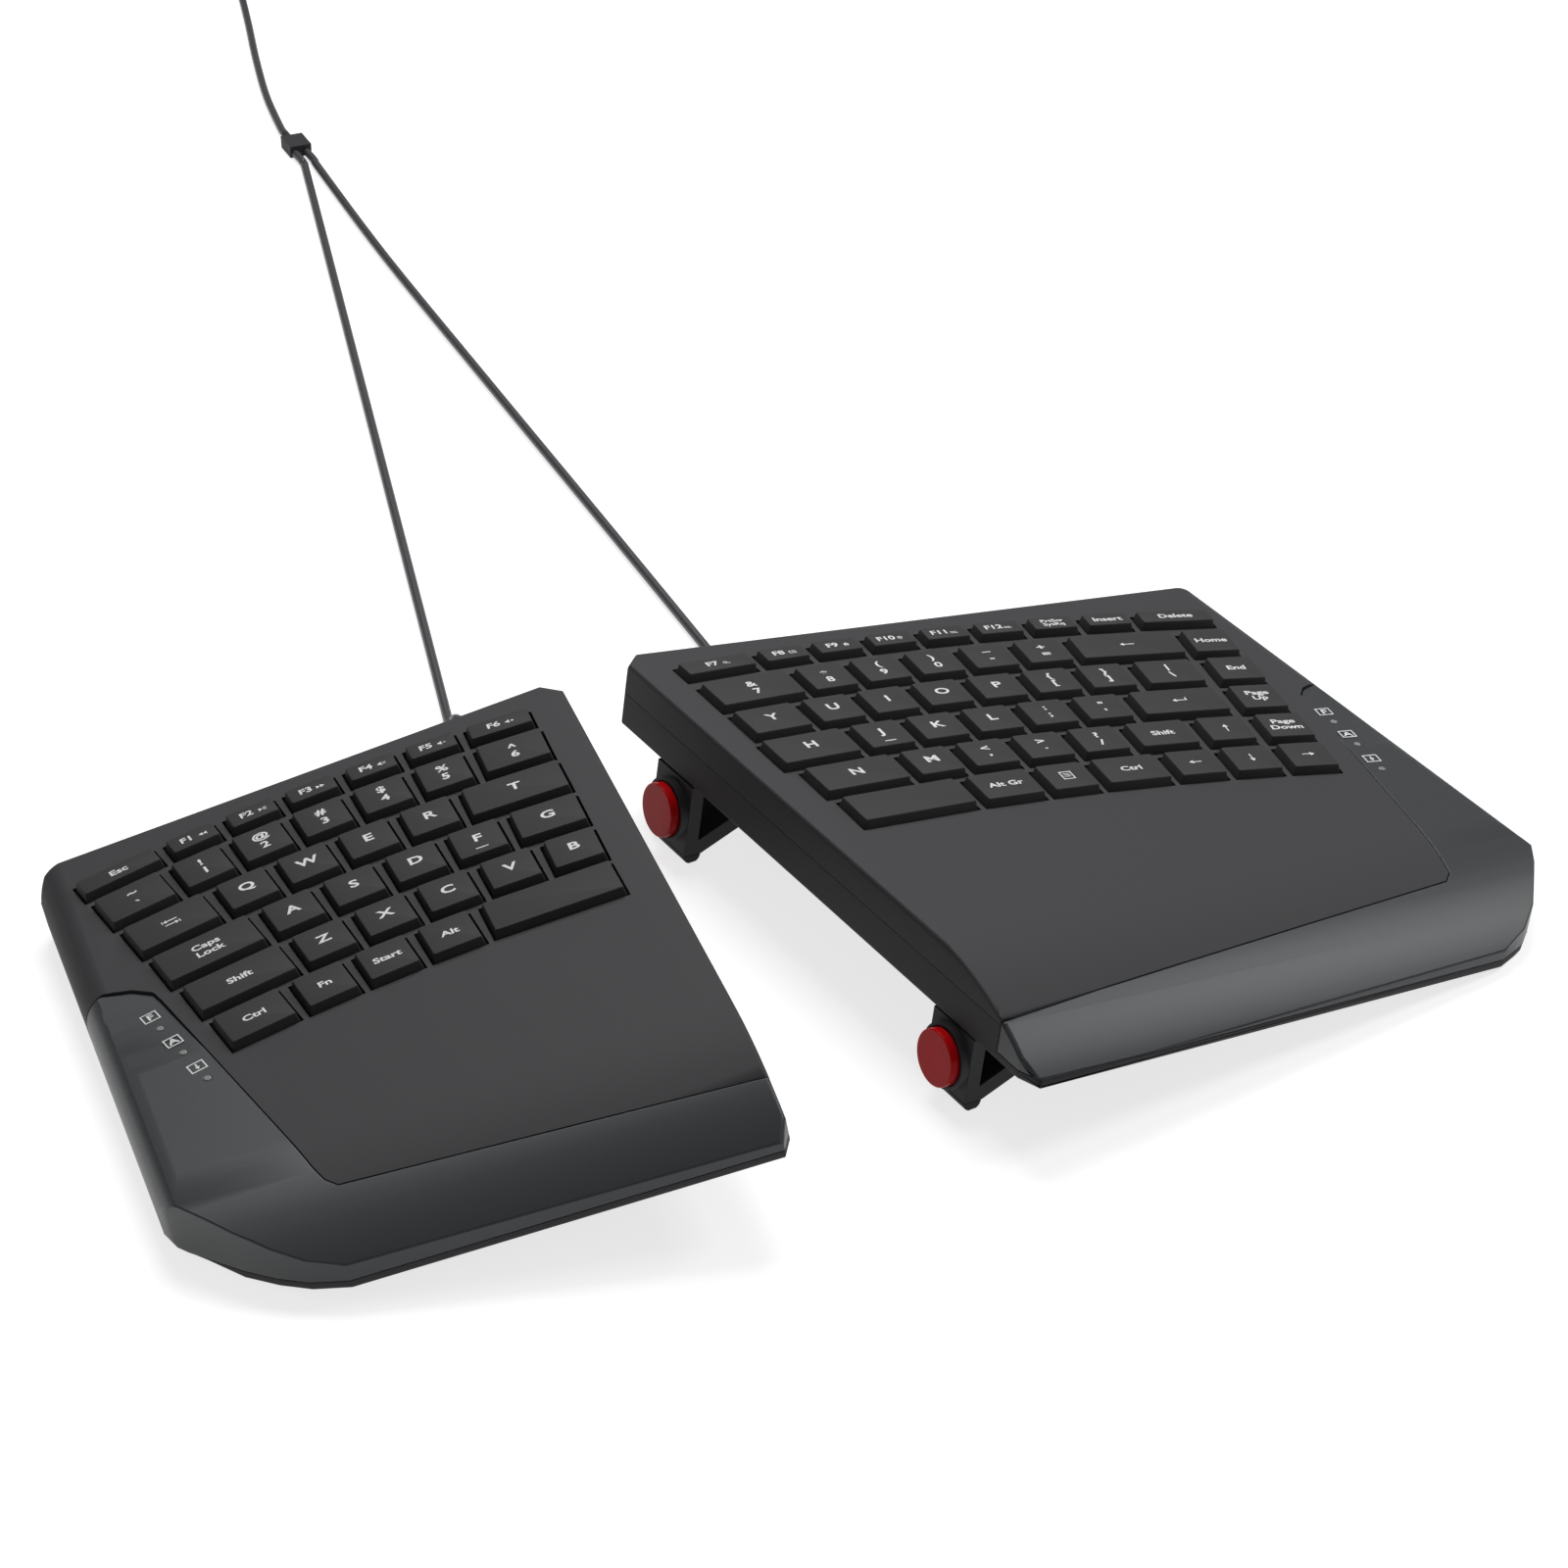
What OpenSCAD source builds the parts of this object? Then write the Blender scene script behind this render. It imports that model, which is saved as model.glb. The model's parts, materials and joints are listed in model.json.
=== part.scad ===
/* Split ergonomic keyboard: two tented halves joined by a forked cord, millimetres, +Z up.
   Each half is drawn in its own frame (x along the rows, y to the back, z = 0 on its underside)
   and then tilted about its outer feet. */

/* [Keys] */
// Spacing of keys along a row
key_pitch = 19.05; // [18:0.05:20]
// Spacing of rows
row_pitch = 18.75; // [18:0.05:20]
// Top face width of a letter key
key_w = 14.5; // [13:0.1:16]
// Top face depth of a letter key
key_d = 14.1; // [13:0.1:16]
// Top face depth of a function key
fkey_d = 7.2; // [6:0.1:9]
// How far the skirt is wider than the top face
key_flare = 2; // [1:0.1:3]
// Gap between a skirt and the edge of its opening
key_gap = 0.35; // [0.2:0.05:0.8]
// Height of the key tops over the deck
key_rise = 2.6; // [2:0.1:5]
// Height of the skirt below the deck
key_sink = 2.9; // [1.5:0.1:3]
// Wall of a key cap
key_wall = 1.4; // [1:0.1:2]
// Travel of a key
key_travel = 3; // [2:0.1:3.2]
// Radius of a key stem
stem_r = 3; // [2:0.1:3]
// Distance of the function row from the number row, left
left_frow = 15.4; // [14:0.1:20]
// Distance of the function row from the number row, right
right_frow = 17.3; // [14:0.1:20]

/* [Case] */
// Height of the deck over the underside
deck_z = 20.9; // [18:0.1:26]
// Wall and deck thickness
wall = 2; // [1.5:0.1:3]
// Height of the parting line along the sides
seam_z = 11.4; // [9:0.1:13]
// Height of the parting line under the trim
lip_z = 3; // [2.5:0.1:4]
// Gap between a trim and the deck
seam_gap = 0.3; // [0.1:0.05:0.5]
// Radius of the palm rest curve
palm_r = 82; // [78:1:150]
// Radius of the rolled outer edge
roll_r = 9; // [4:0.5:9]
// Depth of the hollow at the top end of each trim
dip_h = 1; // [0.4:0.1:1.2]
// Radius of that hollow
dip_r = 400; // [200:10:600]
// Width of the bevel under the left outer edge
left_bevel_w = 16; // [12:0.5:20]
// Width of the bevel under the right outer edge
right_bevel_w = 28; // [24:0.5:30]
// Height of the bevel under the outer edge
bevel_h = 4; // [2:0.5:6]
// Tilt of the left half
left_tent = 9.8; // [6:0.1:12]
// Tilt of the right half
right_tent = 7.6; // [5:0.1:10]

/* [Inside] */
// Thickness of the circuit board
board_t = 1.2; // [0.8:0.1:1.6]
// Underside of the circuit board
board_z = 8.2; // [8:0.1:9]
// Thickness of the dome sheet
sheet_t = 0.6; // [0.4:0.1:0.8]
// Height of a dome collar
dome_h = 3.4; // [3:0.1:4]
// Thickness of the key guide
guide_t = 1.2; // [0.8:0.1:1.5]
// Clearance of a stem in its guide
stem_gap = 0.3; // [0.2:0.05:0.5]
// Wall of a dome collar
dome_wall = 0.8; // [0.5:0.1:1.2]
// Radius of a screw shank
screw_r = 1.4; // [1:0.1:1.6]
// Radius of a screw head
head_r = 2.8; // [2.4:0.1:3.2]
// Thickness of a screw head
head_t = 1.2; // [0.8:0.1:1.6]
// Radius of a screw post
post_r = 3; // [2.6:0.1:3.4]
// Radius of an indicator lens
led_r = 1.1; // [0.8:0.1:1.5]

/* [Feet and risers] */
// Radius of the half round outer feet
foot_r = 2; // [1.5:0.1:3]
// How far a foot is worn flat where it stands
sole = 0.3; // [0.2:0.1:0.6]
// Length of an outer foot
foot_l = 16; // [10:1:24]
// Length of a riser along the wall
riser_l = 20; // [16:0.5:24]
// Thickness of a riser face plate
face_t = 4.5; // [3.5:0.1:5]
// Slope of the riser strut against the underside
strut_a = 27; // [22:1:32]
// Thickness of the strut along the underside
strut_t = 11; // [8:0.5:13]
// Radius of the riser pad
pad_r = 3; // [2:0.1:3.5]
// Height of the riser tongue in its socket
tongue_h = 5.6; // [4:0.1:5.8]
// Clearance of the tongue in its socket
tongue_gap = 0.2; // [0.1:0.05:0.4]
// Radius of a release button
button_r = 8.5; // [7:0.1:9]
// Thickness of a release button
button_t = 3; // [2:0.1:4]
// Travel of a release button
button_travel = 2; // [1:0.1:2]
// Radius of the button stem
button_stem_r = 2.8; // [2:0.1:3.2]
// Clearance round the button
button_gap = 0.3; // [0.2:0.05:0.5]
// Height of the collar round the button
collar_h = 2.4; // [1.5:0.1:2.6]

/* [Cord] */
// Diameter of the leads and the cord
cord_d = 3.2; // [2.5:0.1:4]
// Loops in the tied coil
coil_loops = 9; // [5:1:24]
// Radius of the coil to the middle of the cord
coil_r = 17; // [15:0.5:19]
// Advance of the coil per loop
coil_pitch = 4; // [3.7:0.1:5]
// Radius of the fork where the leads join
fork_r = 4.5; // [4:0.1:7]
// Length of the fork
fork_l = 20; // [14:1:30]
// Radius of a strain relief at the case
gland_r = 3.6; // [3:0.1:5]
// Length of a strain relief
gland_l = 14; // [10:1:20]
// Width of the plug body
plug_w = 15.6; // [14:0.1:18]
// Height of the plug body
plug_h = 7.6; // [6:0.1:9]
// Length of the plug body
plug_l = 26; // [20:1:34]

/* [Placing] */
// First number key of the left half from the origin
left_x = -155.67; // [-190:0.01:-140]
// First number key of the right half from the origin
right_x = 38.82; // [30:0.01:70]
// Number row of the left half from the origin
left_y = 74.5; // [60:0.1:90]
// Number row of the right half from the origin
right_y = 80.8; // [60:0.1:100]

/* [Hidden] */
$fn = 64;
eps = 0.01;
// how deep a post or socket is rooted in the skin it stands on
root_t = 0.6;
// outer feet in each half's frame
left_contact = -32;
right_contact = 138.5;
left_foot_at = [[left_contact, -110], [-26, -6]];
right_foot_at = [[right_contact, -110], [127, -8]];
// front edge of the circuit board, behind the palm rests, and of the sheets over it
board_front = -92;
sheet_front = board_front + 1;
// a length beyond every outline
far = 400;
// slope of the two inner walls to the rows
left_slant = 5.75;
right_slant = -8.4;
// outlines, counterclockwise
left_outline = [[117.8, 27], [-36, 31.1], [-41.5, 29.8], [-45, 25], [-57, -128], [-55.5, -134.5],
    [-43, -153], [-36, -161.5], [-29, -168], [-19.6, -173.3], [98.5, -192.1], [102.2, -186.5], [123, 20.6]];
right_outline = [[149, 37.1], [-51.2, 27.2], [-56.3, 20.7], [-25.5, -190], [-21.5, -196.9], [145, -170.4],
    [155, -164.5], [161.5, -157.5], [170, -143], [174.6, -132], [174.8, -126], [155, 22], [154.2, 30],
    [152, 35.5]];
// the front trim, from the notch in the outer edge to the inner wall
left_trim_area = [[-80, -39.5], [-51, -39.1], [-43.5, -38.6], [-35.4, -42.1], [-30.4, -46.7],
    [-29.3, -51.7], [-16, -144.3], [-14.7, -149.4], [-12.2, -152.6], [103.7, -175.6], [140, -182.8],
    [140, -230], [-80, -230]];
right_trim_area = [[200, -31], [158, -32], [151.5, -34.8], [148.2, -39], [138.6, -144.5], [135.9, -147.4],
    [-26.9, -179.8], [-70, -188.4], [-70, -240], [200, -240]];
// where the hollow at the top end of each trim is deepest
left_dip_y = -52;
right_dip_y = -46;
// where the palm curve starts on the inner wall, and its slope to the rows
left_palm = [106.3, -145.5];
right_palm = [-31.8, -145.5];
palm_a = 7.2;
// a point of each outer edge and its slope
left_edge = [-45.5, 20];
left_edge_a = 4.45;
right_edge = [155, 22];
right_edge_a = -7.6;
// indicator lenses and screws
left_leds = [[-33.5, -62.8], [-31.3, -77.9], [-29, -92.9]];
right_leds = [[150.5, -56.1], [149.6, -71.8], [148.9, -87.7]];
left_screw_at = [[-40, -18], [113.5, 4], [0, -118], [90, -118]];
right_screw_at = [[-47.5, 2], [149.5, -14], [0, -120], [110, -118]];
left_post_at = [[-28, 22], [30, 24], [100, 20], [112, -60], [-18, -84], [40, -88], [95, -88]];
right_post_at = [[-40, 22.5], [40, 25.5], [130, 28], [-40, -70], [20, -86], [80, -86], [143, -80]];
// inner back corner of each riser in its half's frame: rear, then front
left_riser_y = [-1.5, -112];
right_riser_y = [-1.5, -150];
// rows on arcs: curvature and the middle of the arc
left_bow = 0.00194;
left_mid = 40;
right_bow = 0.00145;
right_mid = 58;
// one list of [centre, top width] per row
left_rows = [
    [[-22.2, 24.4], [1.8, 14.5], [20.9, 14.5], [39.9, 14.5], [59, 14.5], [78, 14.5], [99.2, 18.8]],
    [[-21.8, 20], [0, 14.5], [19.05, 14.5], [38.1, 14.5], [57.15, 14.5], [76.2, 14.5], [97.8, 19.5]],
    [[-16.4, 24.4], [7.8, 14.5], [26.85, 14.5], [45.9, 14.5], [64.95, 14.5], [91.3, 29.3]],
    [[15.7, 14.5], [34.75, 14.5], [53.8, 14.5], [72.85, 14.5], [94.3, 19.5]],
    [[18.7, 14.5], [37.75, 14.5], [56.8, 14.5], [75.85, 14.5], [94.9, 14.5]],
    [[-9.5, 19.4], [12.15, 14.5], [31.2, 14.5], [50.25, 14.5]]];
right_rows = [
    [[-30.6, 23.4], [-7.1, 14.5], [11.95, 14.5], [31, 14.5], [50.05, 14.5], [69.1, 14.5], [88.15, 14.5],
        [107.2, 14.5], [131, 24.2]],
    [[-25.7, 28.4], [0, 14.5], [19.05, 14.5], [38.1, 14.5], [57.15, 14.5], [76.2, 14.5], [134.4, 14.5]],
    [[-27.7, 19.2], [-6.5, 14.5], [12.55, 14.5], [31.6, 14.5], [50.65, 14.5], [69.7, 14.5], [88.75, 14.5],
        [110.5, 18.7], [133.3, 14.5]],
    [[-23.2, 26], [1.5, 14.5], [20.55, 14.5], [39.6, 14.5], [58.65, 14.5], [77.7, 14.5], [131.1, 14.5]],
    [[-16.4, 28], [9.4, 14.5], [28.45, 14.5], [47.5, 14.5], [66.55, 14.5], [88.3, 18.8], [110, 14.5],
        [129.9, 14.5]],
    [[24.9, 19], [45.9, 14.5], [67.7, 20.3], [89.5, 14.5], [108.55, 14.5], [127.6, 14.5]]];
left_caps_lock = [3, -11, 29.3];
left_shift = [4, -7.6, 29.1];
left_space = [5, 81.2, 38.2];
right_backspace = [1, 105.4, 34.8];
right_enter = [3, 104.1, 28.4];
right_space = [5, -7.9, 37.6];
left_big = [left_caps_lock, left_shift, left_space];
right_big = [right_backspace, right_enter, right_space];
// levels of the inner stack
sheet_z = board_z + board_t;
dome_z = sheet_z + sheet_t;
guide_z = dome_z + dome_h;
cap_z = deck_z - key_sink;
// middle of the rolled edge, a touch high so that the roll meets the deck at a slight angle
roll_z = deck_z - roll_r + 0.03;
stem_z = guide_z - 0.2;
// where the leads leave the back walls, in each half's frame
left_exit = [96, 27.58];
right_exit = [-1, 29.68];
exit_z = 5;
// height of the lead on the floor
lie_z = cord_d / 2;

// frames of the halves
left_origin = [left_x, left_y, foot_r - sole - left_contact * sin(left_tent)];
right_origin = [right_x, right_y, foot_r - sole + right_contact * sin(right_tent)];
module at_left() translate(left_origin) rotate([0, -left_tent, 0]) children();
module at_right() translate(right_origin) rotate([0, right_tent, 0]) children();
function left_world(p) = left_origin + [p[0] * cos(left_tent) - p[2] * sin(left_tent), p[1],
    p[0] * sin(left_tent) + p[2] * cos(left_tent)];
function right_world(p) = right_origin + [p[0] * cos(right_tent) + p[2] * sin(right_tent), p[1],
    p[2] * cos(right_tent) - p[0] * sin(right_tent)];
// what stands on the floor is flat there
module on_floor() intersection() {
    children();
    translate([-far, -far, 0]) cube([2 * far, 2 * far, far]);
}

// an outline moved inwards
function unit(v) = v / norm(v);
function inward(a, b) = let (e = unit(b - a)) [-e[1], e[0]];
function cross2(a, b) = a[0] * b[1] - a[1] * b[0];
function meet(a, u, b, v) = a + u * cross2(b - a, v) / cross2(u, v);
function inset(p, d) = let (n = len(p)) [for (i = [0 : n - 1])
    let (a = p[(i + n - 1) % n], b = p[i], c = p[(i + 1) % n])
        meet(b + d * inward(a, b), b - a, b + d * inward(b, c), c - b)];

// solid body of a half, moved inwards by d and standing on z0
module palm_zone(at, a, d) translate([at[0], at[1], 0]) rotate([0, 0, a]) {
    translate([-400, 0, -1]) cube([800, 400, deck_z + 2]);
    translate([-400, 0, deck_z - palm_r]) rotate([0, 90, 0]) cylinder(r = palm_r - d, h = 800, $fn = 360);
}
module edge_zone(at, a, out, bevel_w, d) translate([at[0], at[1], 0]) rotate([0, 0, a]) mirror([out, 0, 0])
    rotate([90, 0, 0]) linear_extrude(800, center = true) {
        polygon([[bevel_w + 1.2 * d, 0], [500, 0], [500, deck_z + 1], [roll_r, deck_z + 1],
            [roll_r, roll_z], [d, roll_z], [d, bevel_h + d]]);
        translate([roll_r, roll_z]) circle(r = roll_r - d);
    }
module left_solid(d, z0) intersection() {
    translate([0, 0, z0]) linear_extrude(deck_z - d - z0) polygon(inset(left_outline, d));
    palm_zone(left_palm, -palm_a, d);
    edge_zone(left_edge, -left_edge_a, 0, left_bevel_w, d);
}
module right_solid(d, z0) intersection() {
    translate([0, 0, z0]) linear_extrude(deck_z - d - z0) polygon(inset(right_outline, d));
    palm_zone(right_palm, palm_a, d);
    edge_zone(right_edge, -right_edge_a, 1, right_bevel_w, d);
}
module left_hull() difference() { left_solid(0, 0); left_solid(wall, wall); }
module right_hull() difference() { right_solid(0, 0); right_solid(wall, wall); }
// everything below the parting line
module left_low() difference() {
    translate([-150, -300, -1]) cube([400, 400, seam_z + 1]);
    translate([0, 0, lip_z]) linear_extrude(50) polygon(left_trim_area);
}
module right_low() difference() {
    translate([-150, -300, -1]) cube([400, 400, seam_z + 1]);
    translate([0, 0, lip_z]) linear_extrude(50) polygon(right_trim_area);
}

// keys on their arcs
function row_y(row, frow) = row == 0 ? frow : (1 - row) * row_pitch;
module on_arc(u, row, frow, bow, mid) translate([u, row_y(row, frow) - bow * pow(u - mid, 2) / 2, 0])
    rotate([0, 0, -bow * (u - mid) * 180 / PI]) children();
module left_at(u, row) on_arc(u, row, left_frow, left_bow, left_mid) children();
module right_at(u, row) on_arc(u, row, right_frow, right_bow, right_mid) children();
function top_d(row) = row == 0 ? fkey_d : key_d;
module cap(w, row) {
    d = top_d(row);
    h = key_rise + key_sink;
    f = key_flare / 2;
    translate([0, 0, cap_z]) {
        difference() {
            intersection() {
                rotate([90, 0, 0]) linear_extrude(60, center = true)
                    polygon([[-w / 2 - f, 0], [w / 2 + f, 0], [w / 2, h], [-w / 2, h]]);
                rotate([90, 0, 90]) linear_extrude(60, center = true)
                    polygon([[-d / 2 - f, 0], [d / 2 + f, 0], [d / 2, h], [-d / 2, h]]);
            }
            translate([-w / 2 - f + key_wall, -d / 2 - f + key_wall, -1])
                cube([w + 2 * f - 2 * key_wall, d + 2 * f - 2 * key_wall, h - key_wall - 1]);
        }
        translate([0, 0, stem_z - cap_z]) cylinder(r = stem_r, h = h - key_wall + cap_z - stem_z);
    }
}
module opening(w, row) {
    d = top_d(row);
    e = key_flare + 2 * key_gap;
    translate([-(w + e) / 2, -(d + e) / 2, cap_z - 4]) cube([w + e, d + e, 20]);
}
module left_row(r) color([0.09, 0.09, 0.1]) at_left()
    for (k = left_rows[r]) left_at(k[0], r) cap(k[1], r);
module right_row(r) color([0.09, 0.09, 0.1]) at_right()
    for (k = right_rows[r]) right_at(k[0], r) cap(k[1], r);
module left_one(k) color([0.09, 0.09, 0.1]) at_left() left_at(k[1], k[0]) cap(k[2], k[0]);
module right_one(k) color([0.09, 0.09, 0.1]) at_right() right_at(k[1], k[0]) cap(k[2], k[0]);
module left_each() {
    for (r = [0 : 5], k = left_rows[r]) left_at(k[0], r) { $w = k[1]; $row = r; children(); }
    for (k = left_big) left_at(k[1], k[0]) { $w = k[2]; $row = k[0]; children(); }
}
module right_each() {
    for (r = [0 : 5], k = right_rows[r]) right_at(k[0], r) { $w = k[1]; $row = r; children(); }
    for (k = right_big) right_at(k[1], k[0]) { $w = k[2]; $row = k[0]; children(); }
}

// screw posts of the top cover: tubes that stand on the bosses of the bottom case
module posts(at) for (p = at) translate([p[0], p[1], board_z]) difference() {
    cylinder(r = post_r, h = deck_z - wall - board_z + root_t);
    translate([0, 0, -1]) cylinder(r = screw_r, h = 6);
}
module top_posts_left() intersection() { left_solid(wall - root_t, 1); posts(left_screw_at); }
module top_posts_right() intersection() { right_solid(wall - root_t, 1); posts(right_screw_at); }

module left_top_cover() color([0.16, 0.16, 0.17]) at_left() {
    difference() {
        left_hull();
        left_low();
        translate([0, 0, lip_z]) linear_extrude(50) polygon(left_trim_area);
        left_each() opening($w, $row);
    }
    top_posts_left();
}
module right_top_cover() color([0.16, 0.16, 0.17]) at_right() {
    difference() {
        right_hull();
        right_low();
        translate([0, 0, lip_z]) linear_extrude(50) polygon(right_trim_area);
        right_each() opening($w, $row);
    }
    top_posts_right();
}
// shallow hollow that drops the trim's top end below the deck
function dip(y, at) = max(0, dip_h - pow(y - at, 2) / (2 * dip_r));
module dip_cut(at) translate([0, at, deck_z + dip_r - dip_h]) rotate([0, 90, 0])
    cylinder(r = dip_r, h = 800, center = true, $fn = 360);
module left_palm_trim() color([0.2, 0.2, 0.21]) at_left() difference() {
    intersection() {
        left_hull();
        translate([0, 0, lip_z]) linear_extrude(50) polygon(inset(left_trim_area, -seam_gap));
    }
    for (p = left_leds) translate([p[0], p[1], 0]) cylinder(r = led_r, h = 40);
    dip_cut(left_dip_y);
}
module right_palm_trim() color([0.2, 0.2, 0.21]) at_right() difference() {
    intersection() {
        right_hull();
        translate([0, 0, lip_z]) linear_extrude(50) polygon(inset(right_trim_area, seam_gap));
    }
    for (p = right_leds) translate([p[0], p[1], 0]) cylinder(r = led_r, h = 40);
    dip_cut(right_dip_y);
}
module lens(p, drop) translate([p[0], p[1], deck_z - wall - 1]) cylinder(r = led_r, h = wall + 1.2 - drop);
module left_led_lenses() color([0.75, 0.78, 0.75]) at_left()
    for (p = left_leds) lens(p, dip(p[1], left_dip_y));
module right_led_lenses() color([0.75, 0.78, 0.75]) at_right()
    for (p = right_leds) lens(p, dip(p[1], right_dip_y));

// bottom case: floor and low walls, screw bosses, board posts, riser sockets
module bosses(at, r) for (p = at) translate([p[0], p[1], wall - root_t])
    cylinder(r = r, h = board_z - wall + root_t);
module screw_cuts(at) for (p = at) translate([p[0], p[1], -1]) {
    cylinder(r = screw_r, h = 30);
    cylinder(r = head_r, h = 1 + head_t + 0.2);
}
// tongue of a riser, grown by g
module tongue(g) translate([1.5 + face_t - 3, -riser_l + 3, -3]) translate([-g, -g, 0])
    cube([9 + 2 * g, riser_l - 6 + 2 * g, 3 + tongue_h + g]);
module hook(x, g) translate([x - strut_t + 3 - g, -riser_l + 5 - g, -2])
    cube([4 + 2 * g, riser_l - 10 + 2 * g, 2 + wall - 0.4 + g]);
module socket() translate([face_t - 1.5 - 1.8, -riser_l + 1.2, wall - root_t])
    cube([9 + 3.6, riser_l - 2.4, board_z - 0.2 - wall + root_t]);

// a riser stands at the inner wall, its own x away from the gap between the halves
function left_wall_x(y) = 123 - (20.6 - y) * tan(left_slant);
function right_wall_x(y) = -56.3 - (20.7 - y) * tan(right_slant);
module left_riser_at(y) translate([left_wall_x(y), y, 0]) rotate([0, 0, -left_slant])
    mirror([1, 0, 0]) children();
module right_riser_at(y) translate([right_wall_x(y), y, 0]) rotate([0, 0, -right_slant]) children();
function left_pad_z(y) = let (x = left_wall_x(y - riser_l) - pad_r - left_contact)
    (pad_r - foot_r - x * sin(left_tent)) / cos(left_tent);
function right_pad_z(y) = let (x = right_wall_x(y - riser_l) + pad_r - right_contact)
    (pad_r - foot_r + x * sin(right_tent)) / cos(right_tent);
// the strut meets the underside here
function strut_x(zc) = 2 * pad_r - zc / tan(strut_a);
// the button sits halfway down the face plate
function button_z(zc) = zc / 2;

module riser(zc) color([0.07, 0.07, 0.08]) {
    x = strut_x(zc);
    difference() {
        union() {
            rotate([90, 0, 0]) linear_extrude(riser_l)
                polygon([[0, 0], [0, zc], [2 * pad_r, zc], [x, 0], [x - strut_t, 0],
                    [face_t, (strut_t + face_t - x) * tan(strut_a)], [face_t, 0]]);
            tongue(0);
            hook(x, 0);
            translate([-collar_h, -riser_l / 2, button_z(zc)]) rotate([0, 90, 0])
                cylinder(r = button_r + button_gap + 1, h = collar_h + 1);
        }
        translate([-collar_h - 1, -riser_l / 2, button_z(zc)]) rotate([0, 90, 0])
            cylinder(r = button_r + button_gap, h = collar_h + 1);
        translate([-1, -riser_l / 2, button_z(zc)]) rotate([0, 90, 0])
            cylinder(r = button_stem_r + button_gap, h = face_t + 3);
    }
}
module button(zc) color([0.72, 0.06, 0.07]) translate([0, -riser_l / 2, button_z(zc)]) rotate([0, 90, 0]) {
    translate([0, 0, -button_travel - 0.2 - button_t]) cylinder(r = button_r, h = button_t);
    translate([0, 0, -button_travel - 0.2 - eps])
        cylinder(r = button_stem_r, h = face_t + button_travel + 0.6);
    translate([0, 0, face_t + 0.1]) cylinder(r = button_stem_r + 0.8, h = 1);
}
module pad(zc) color([0.12, 0.12, 0.12]) translate([pad_r, 0, zc]) intersection() {
    rotate([90, 0, 0]) cylinder(r = pad_r, h = riser_l);
    translate([-20, -50, -20]) cube([40, 100, 20]);
}

module left_rear_riser() at_left()
    left_riser_at(left_riser_y[0]) riser(left_pad_z(left_riser_y[0]));
module left_rear_button() at_left()
    left_riser_at(left_riser_y[0]) button(left_pad_z(left_riser_y[0]));
module left_rear_pad() on_floor() at_left()
    left_riser_at(left_riser_y[0]) pad(left_pad_z(left_riser_y[0]));
module left_front_riser() at_left()
    left_riser_at(left_riser_y[1]) riser(left_pad_z(left_riser_y[1]));
module left_front_button() at_left()
    left_riser_at(left_riser_y[1]) button(left_pad_z(left_riser_y[1]));
module left_front_pad() on_floor() at_left()
    left_riser_at(left_riser_y[1]) pad(left_pad_z(left_riser_y[1]));
module right_rear_riser() at_right()
    right_riser_at(right_riser_y[0]) riser(right_pad_z(right_riser_y[0]));
module right_rear_button() at_right()
    right_riser_at(right_riser_y[0]) button(right_pad_z(right_riser_y[0]));
module right_rear_pad() on_floor() at_right()
    right_riser_at(right_riser_y[0]) pad(right_pad_z(right_riser_y[0]));
module right_front_riser() at_right()
    right_riser_at(right_riser_y[1]) riser(right_pad_z(right_riser_y[1]));
module right_front_button() at_right()
    right_riser_at(right_riser_y[1]) button(right_pad_z(right_riser_y[1]));
module right_front_pad() on_floor() at_right()
    right_riser_at(right_riser_y[1]) pad(right_pad_z(right_riser_y[1]));

// hole for the sleeve of a gland in the back wall
sleeve_r = cord_d / 2 + 0.9;
module lead_hole(at) translate([at[0], at[1] - wall - 3, exit_z]) rotate([-90, 0, 0])
    cylinder(r = sleeve_r, h = wall + 6);
module left_bottom_case() color([0.1, 0.1, 0.11]) at_left() difference() {
    union() {
        intersection() { left_hull(); left_low(); }
        intersection() {
            left_solid(wall - root_t, 0);
            union() {
                bosses(left_screw_at, post_r);
                bosses(left_post_at, 2);
                for (y = left_riser_y) left_riser_at(y) socket();
            }
        }
    }
    screw_cuts(left_screw_at);
    for (y = left_riser_y) left_riser_at(y) {
        tongue(tongue_gap);
        hook(strut_x(left_pad_z(y)), tongue_gap);
    }
    lead_hole(left_exit);
}
module right_bottom_case() color([0.1, 0.1, 0.11]) at_right() difference() {
    union() {
        intersection() { right_hull(); right_low(); }
        intersection() {
            right_solid(wall - root_t, 0);
            union() {
                bosses(right_screw_at, post_r);
                bosses(right_post_at, 2);
                for (y = right_riser_y) right_riser_at(y) socket();
            }
        }
    }
    screw_cuts(right_screw_at);
    for (y = right_riser_y) right_riser_at(y) {
        tongue(tongue_gap);
        hook(strut_x(right_pad_z(y)), tongue_gap);
    }
    lead_hole(right_exit);
}

// flat inner sheets that end behind the palm rest
module sheet_area(outline, d, y) intersection() {
    polygon(inset(outline, d));
    translate([-far, y]) square([2 * far, far]);
}
module screw_holes(at) for (p = at) translate(p) circle(r = post_r + 0.5);
module left_circuit_board() color([0.1, 0.32, 0.16]) at_left() translate([0, 0, board_z])
    linear_extrude(board_t) difference() {
        sheet_area(left_outline, 4, board_front);
        screw_holes(left_screw_at);
    }
module right_circuit_board() color([0.1, 0.32, 0.16]) at_right() translate([0, 0, board_z])
    linear_extrude(board_t) difference() {
        sheet_area(right_outline, 4, board_front);
        screw_holes(right_screw_at);
    }
module collar_ring() translate([0, 0, dome_z - eps]) difference() {
    cylinder(r = stem_r + stem_gap + dome_wall, h = dome_h + eps, $fn = 24);
    translate([0, 0, -1]) cylinder(r = stem_r + stem_gap, h = dome_h + 2, $fn = 24);
}
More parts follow.
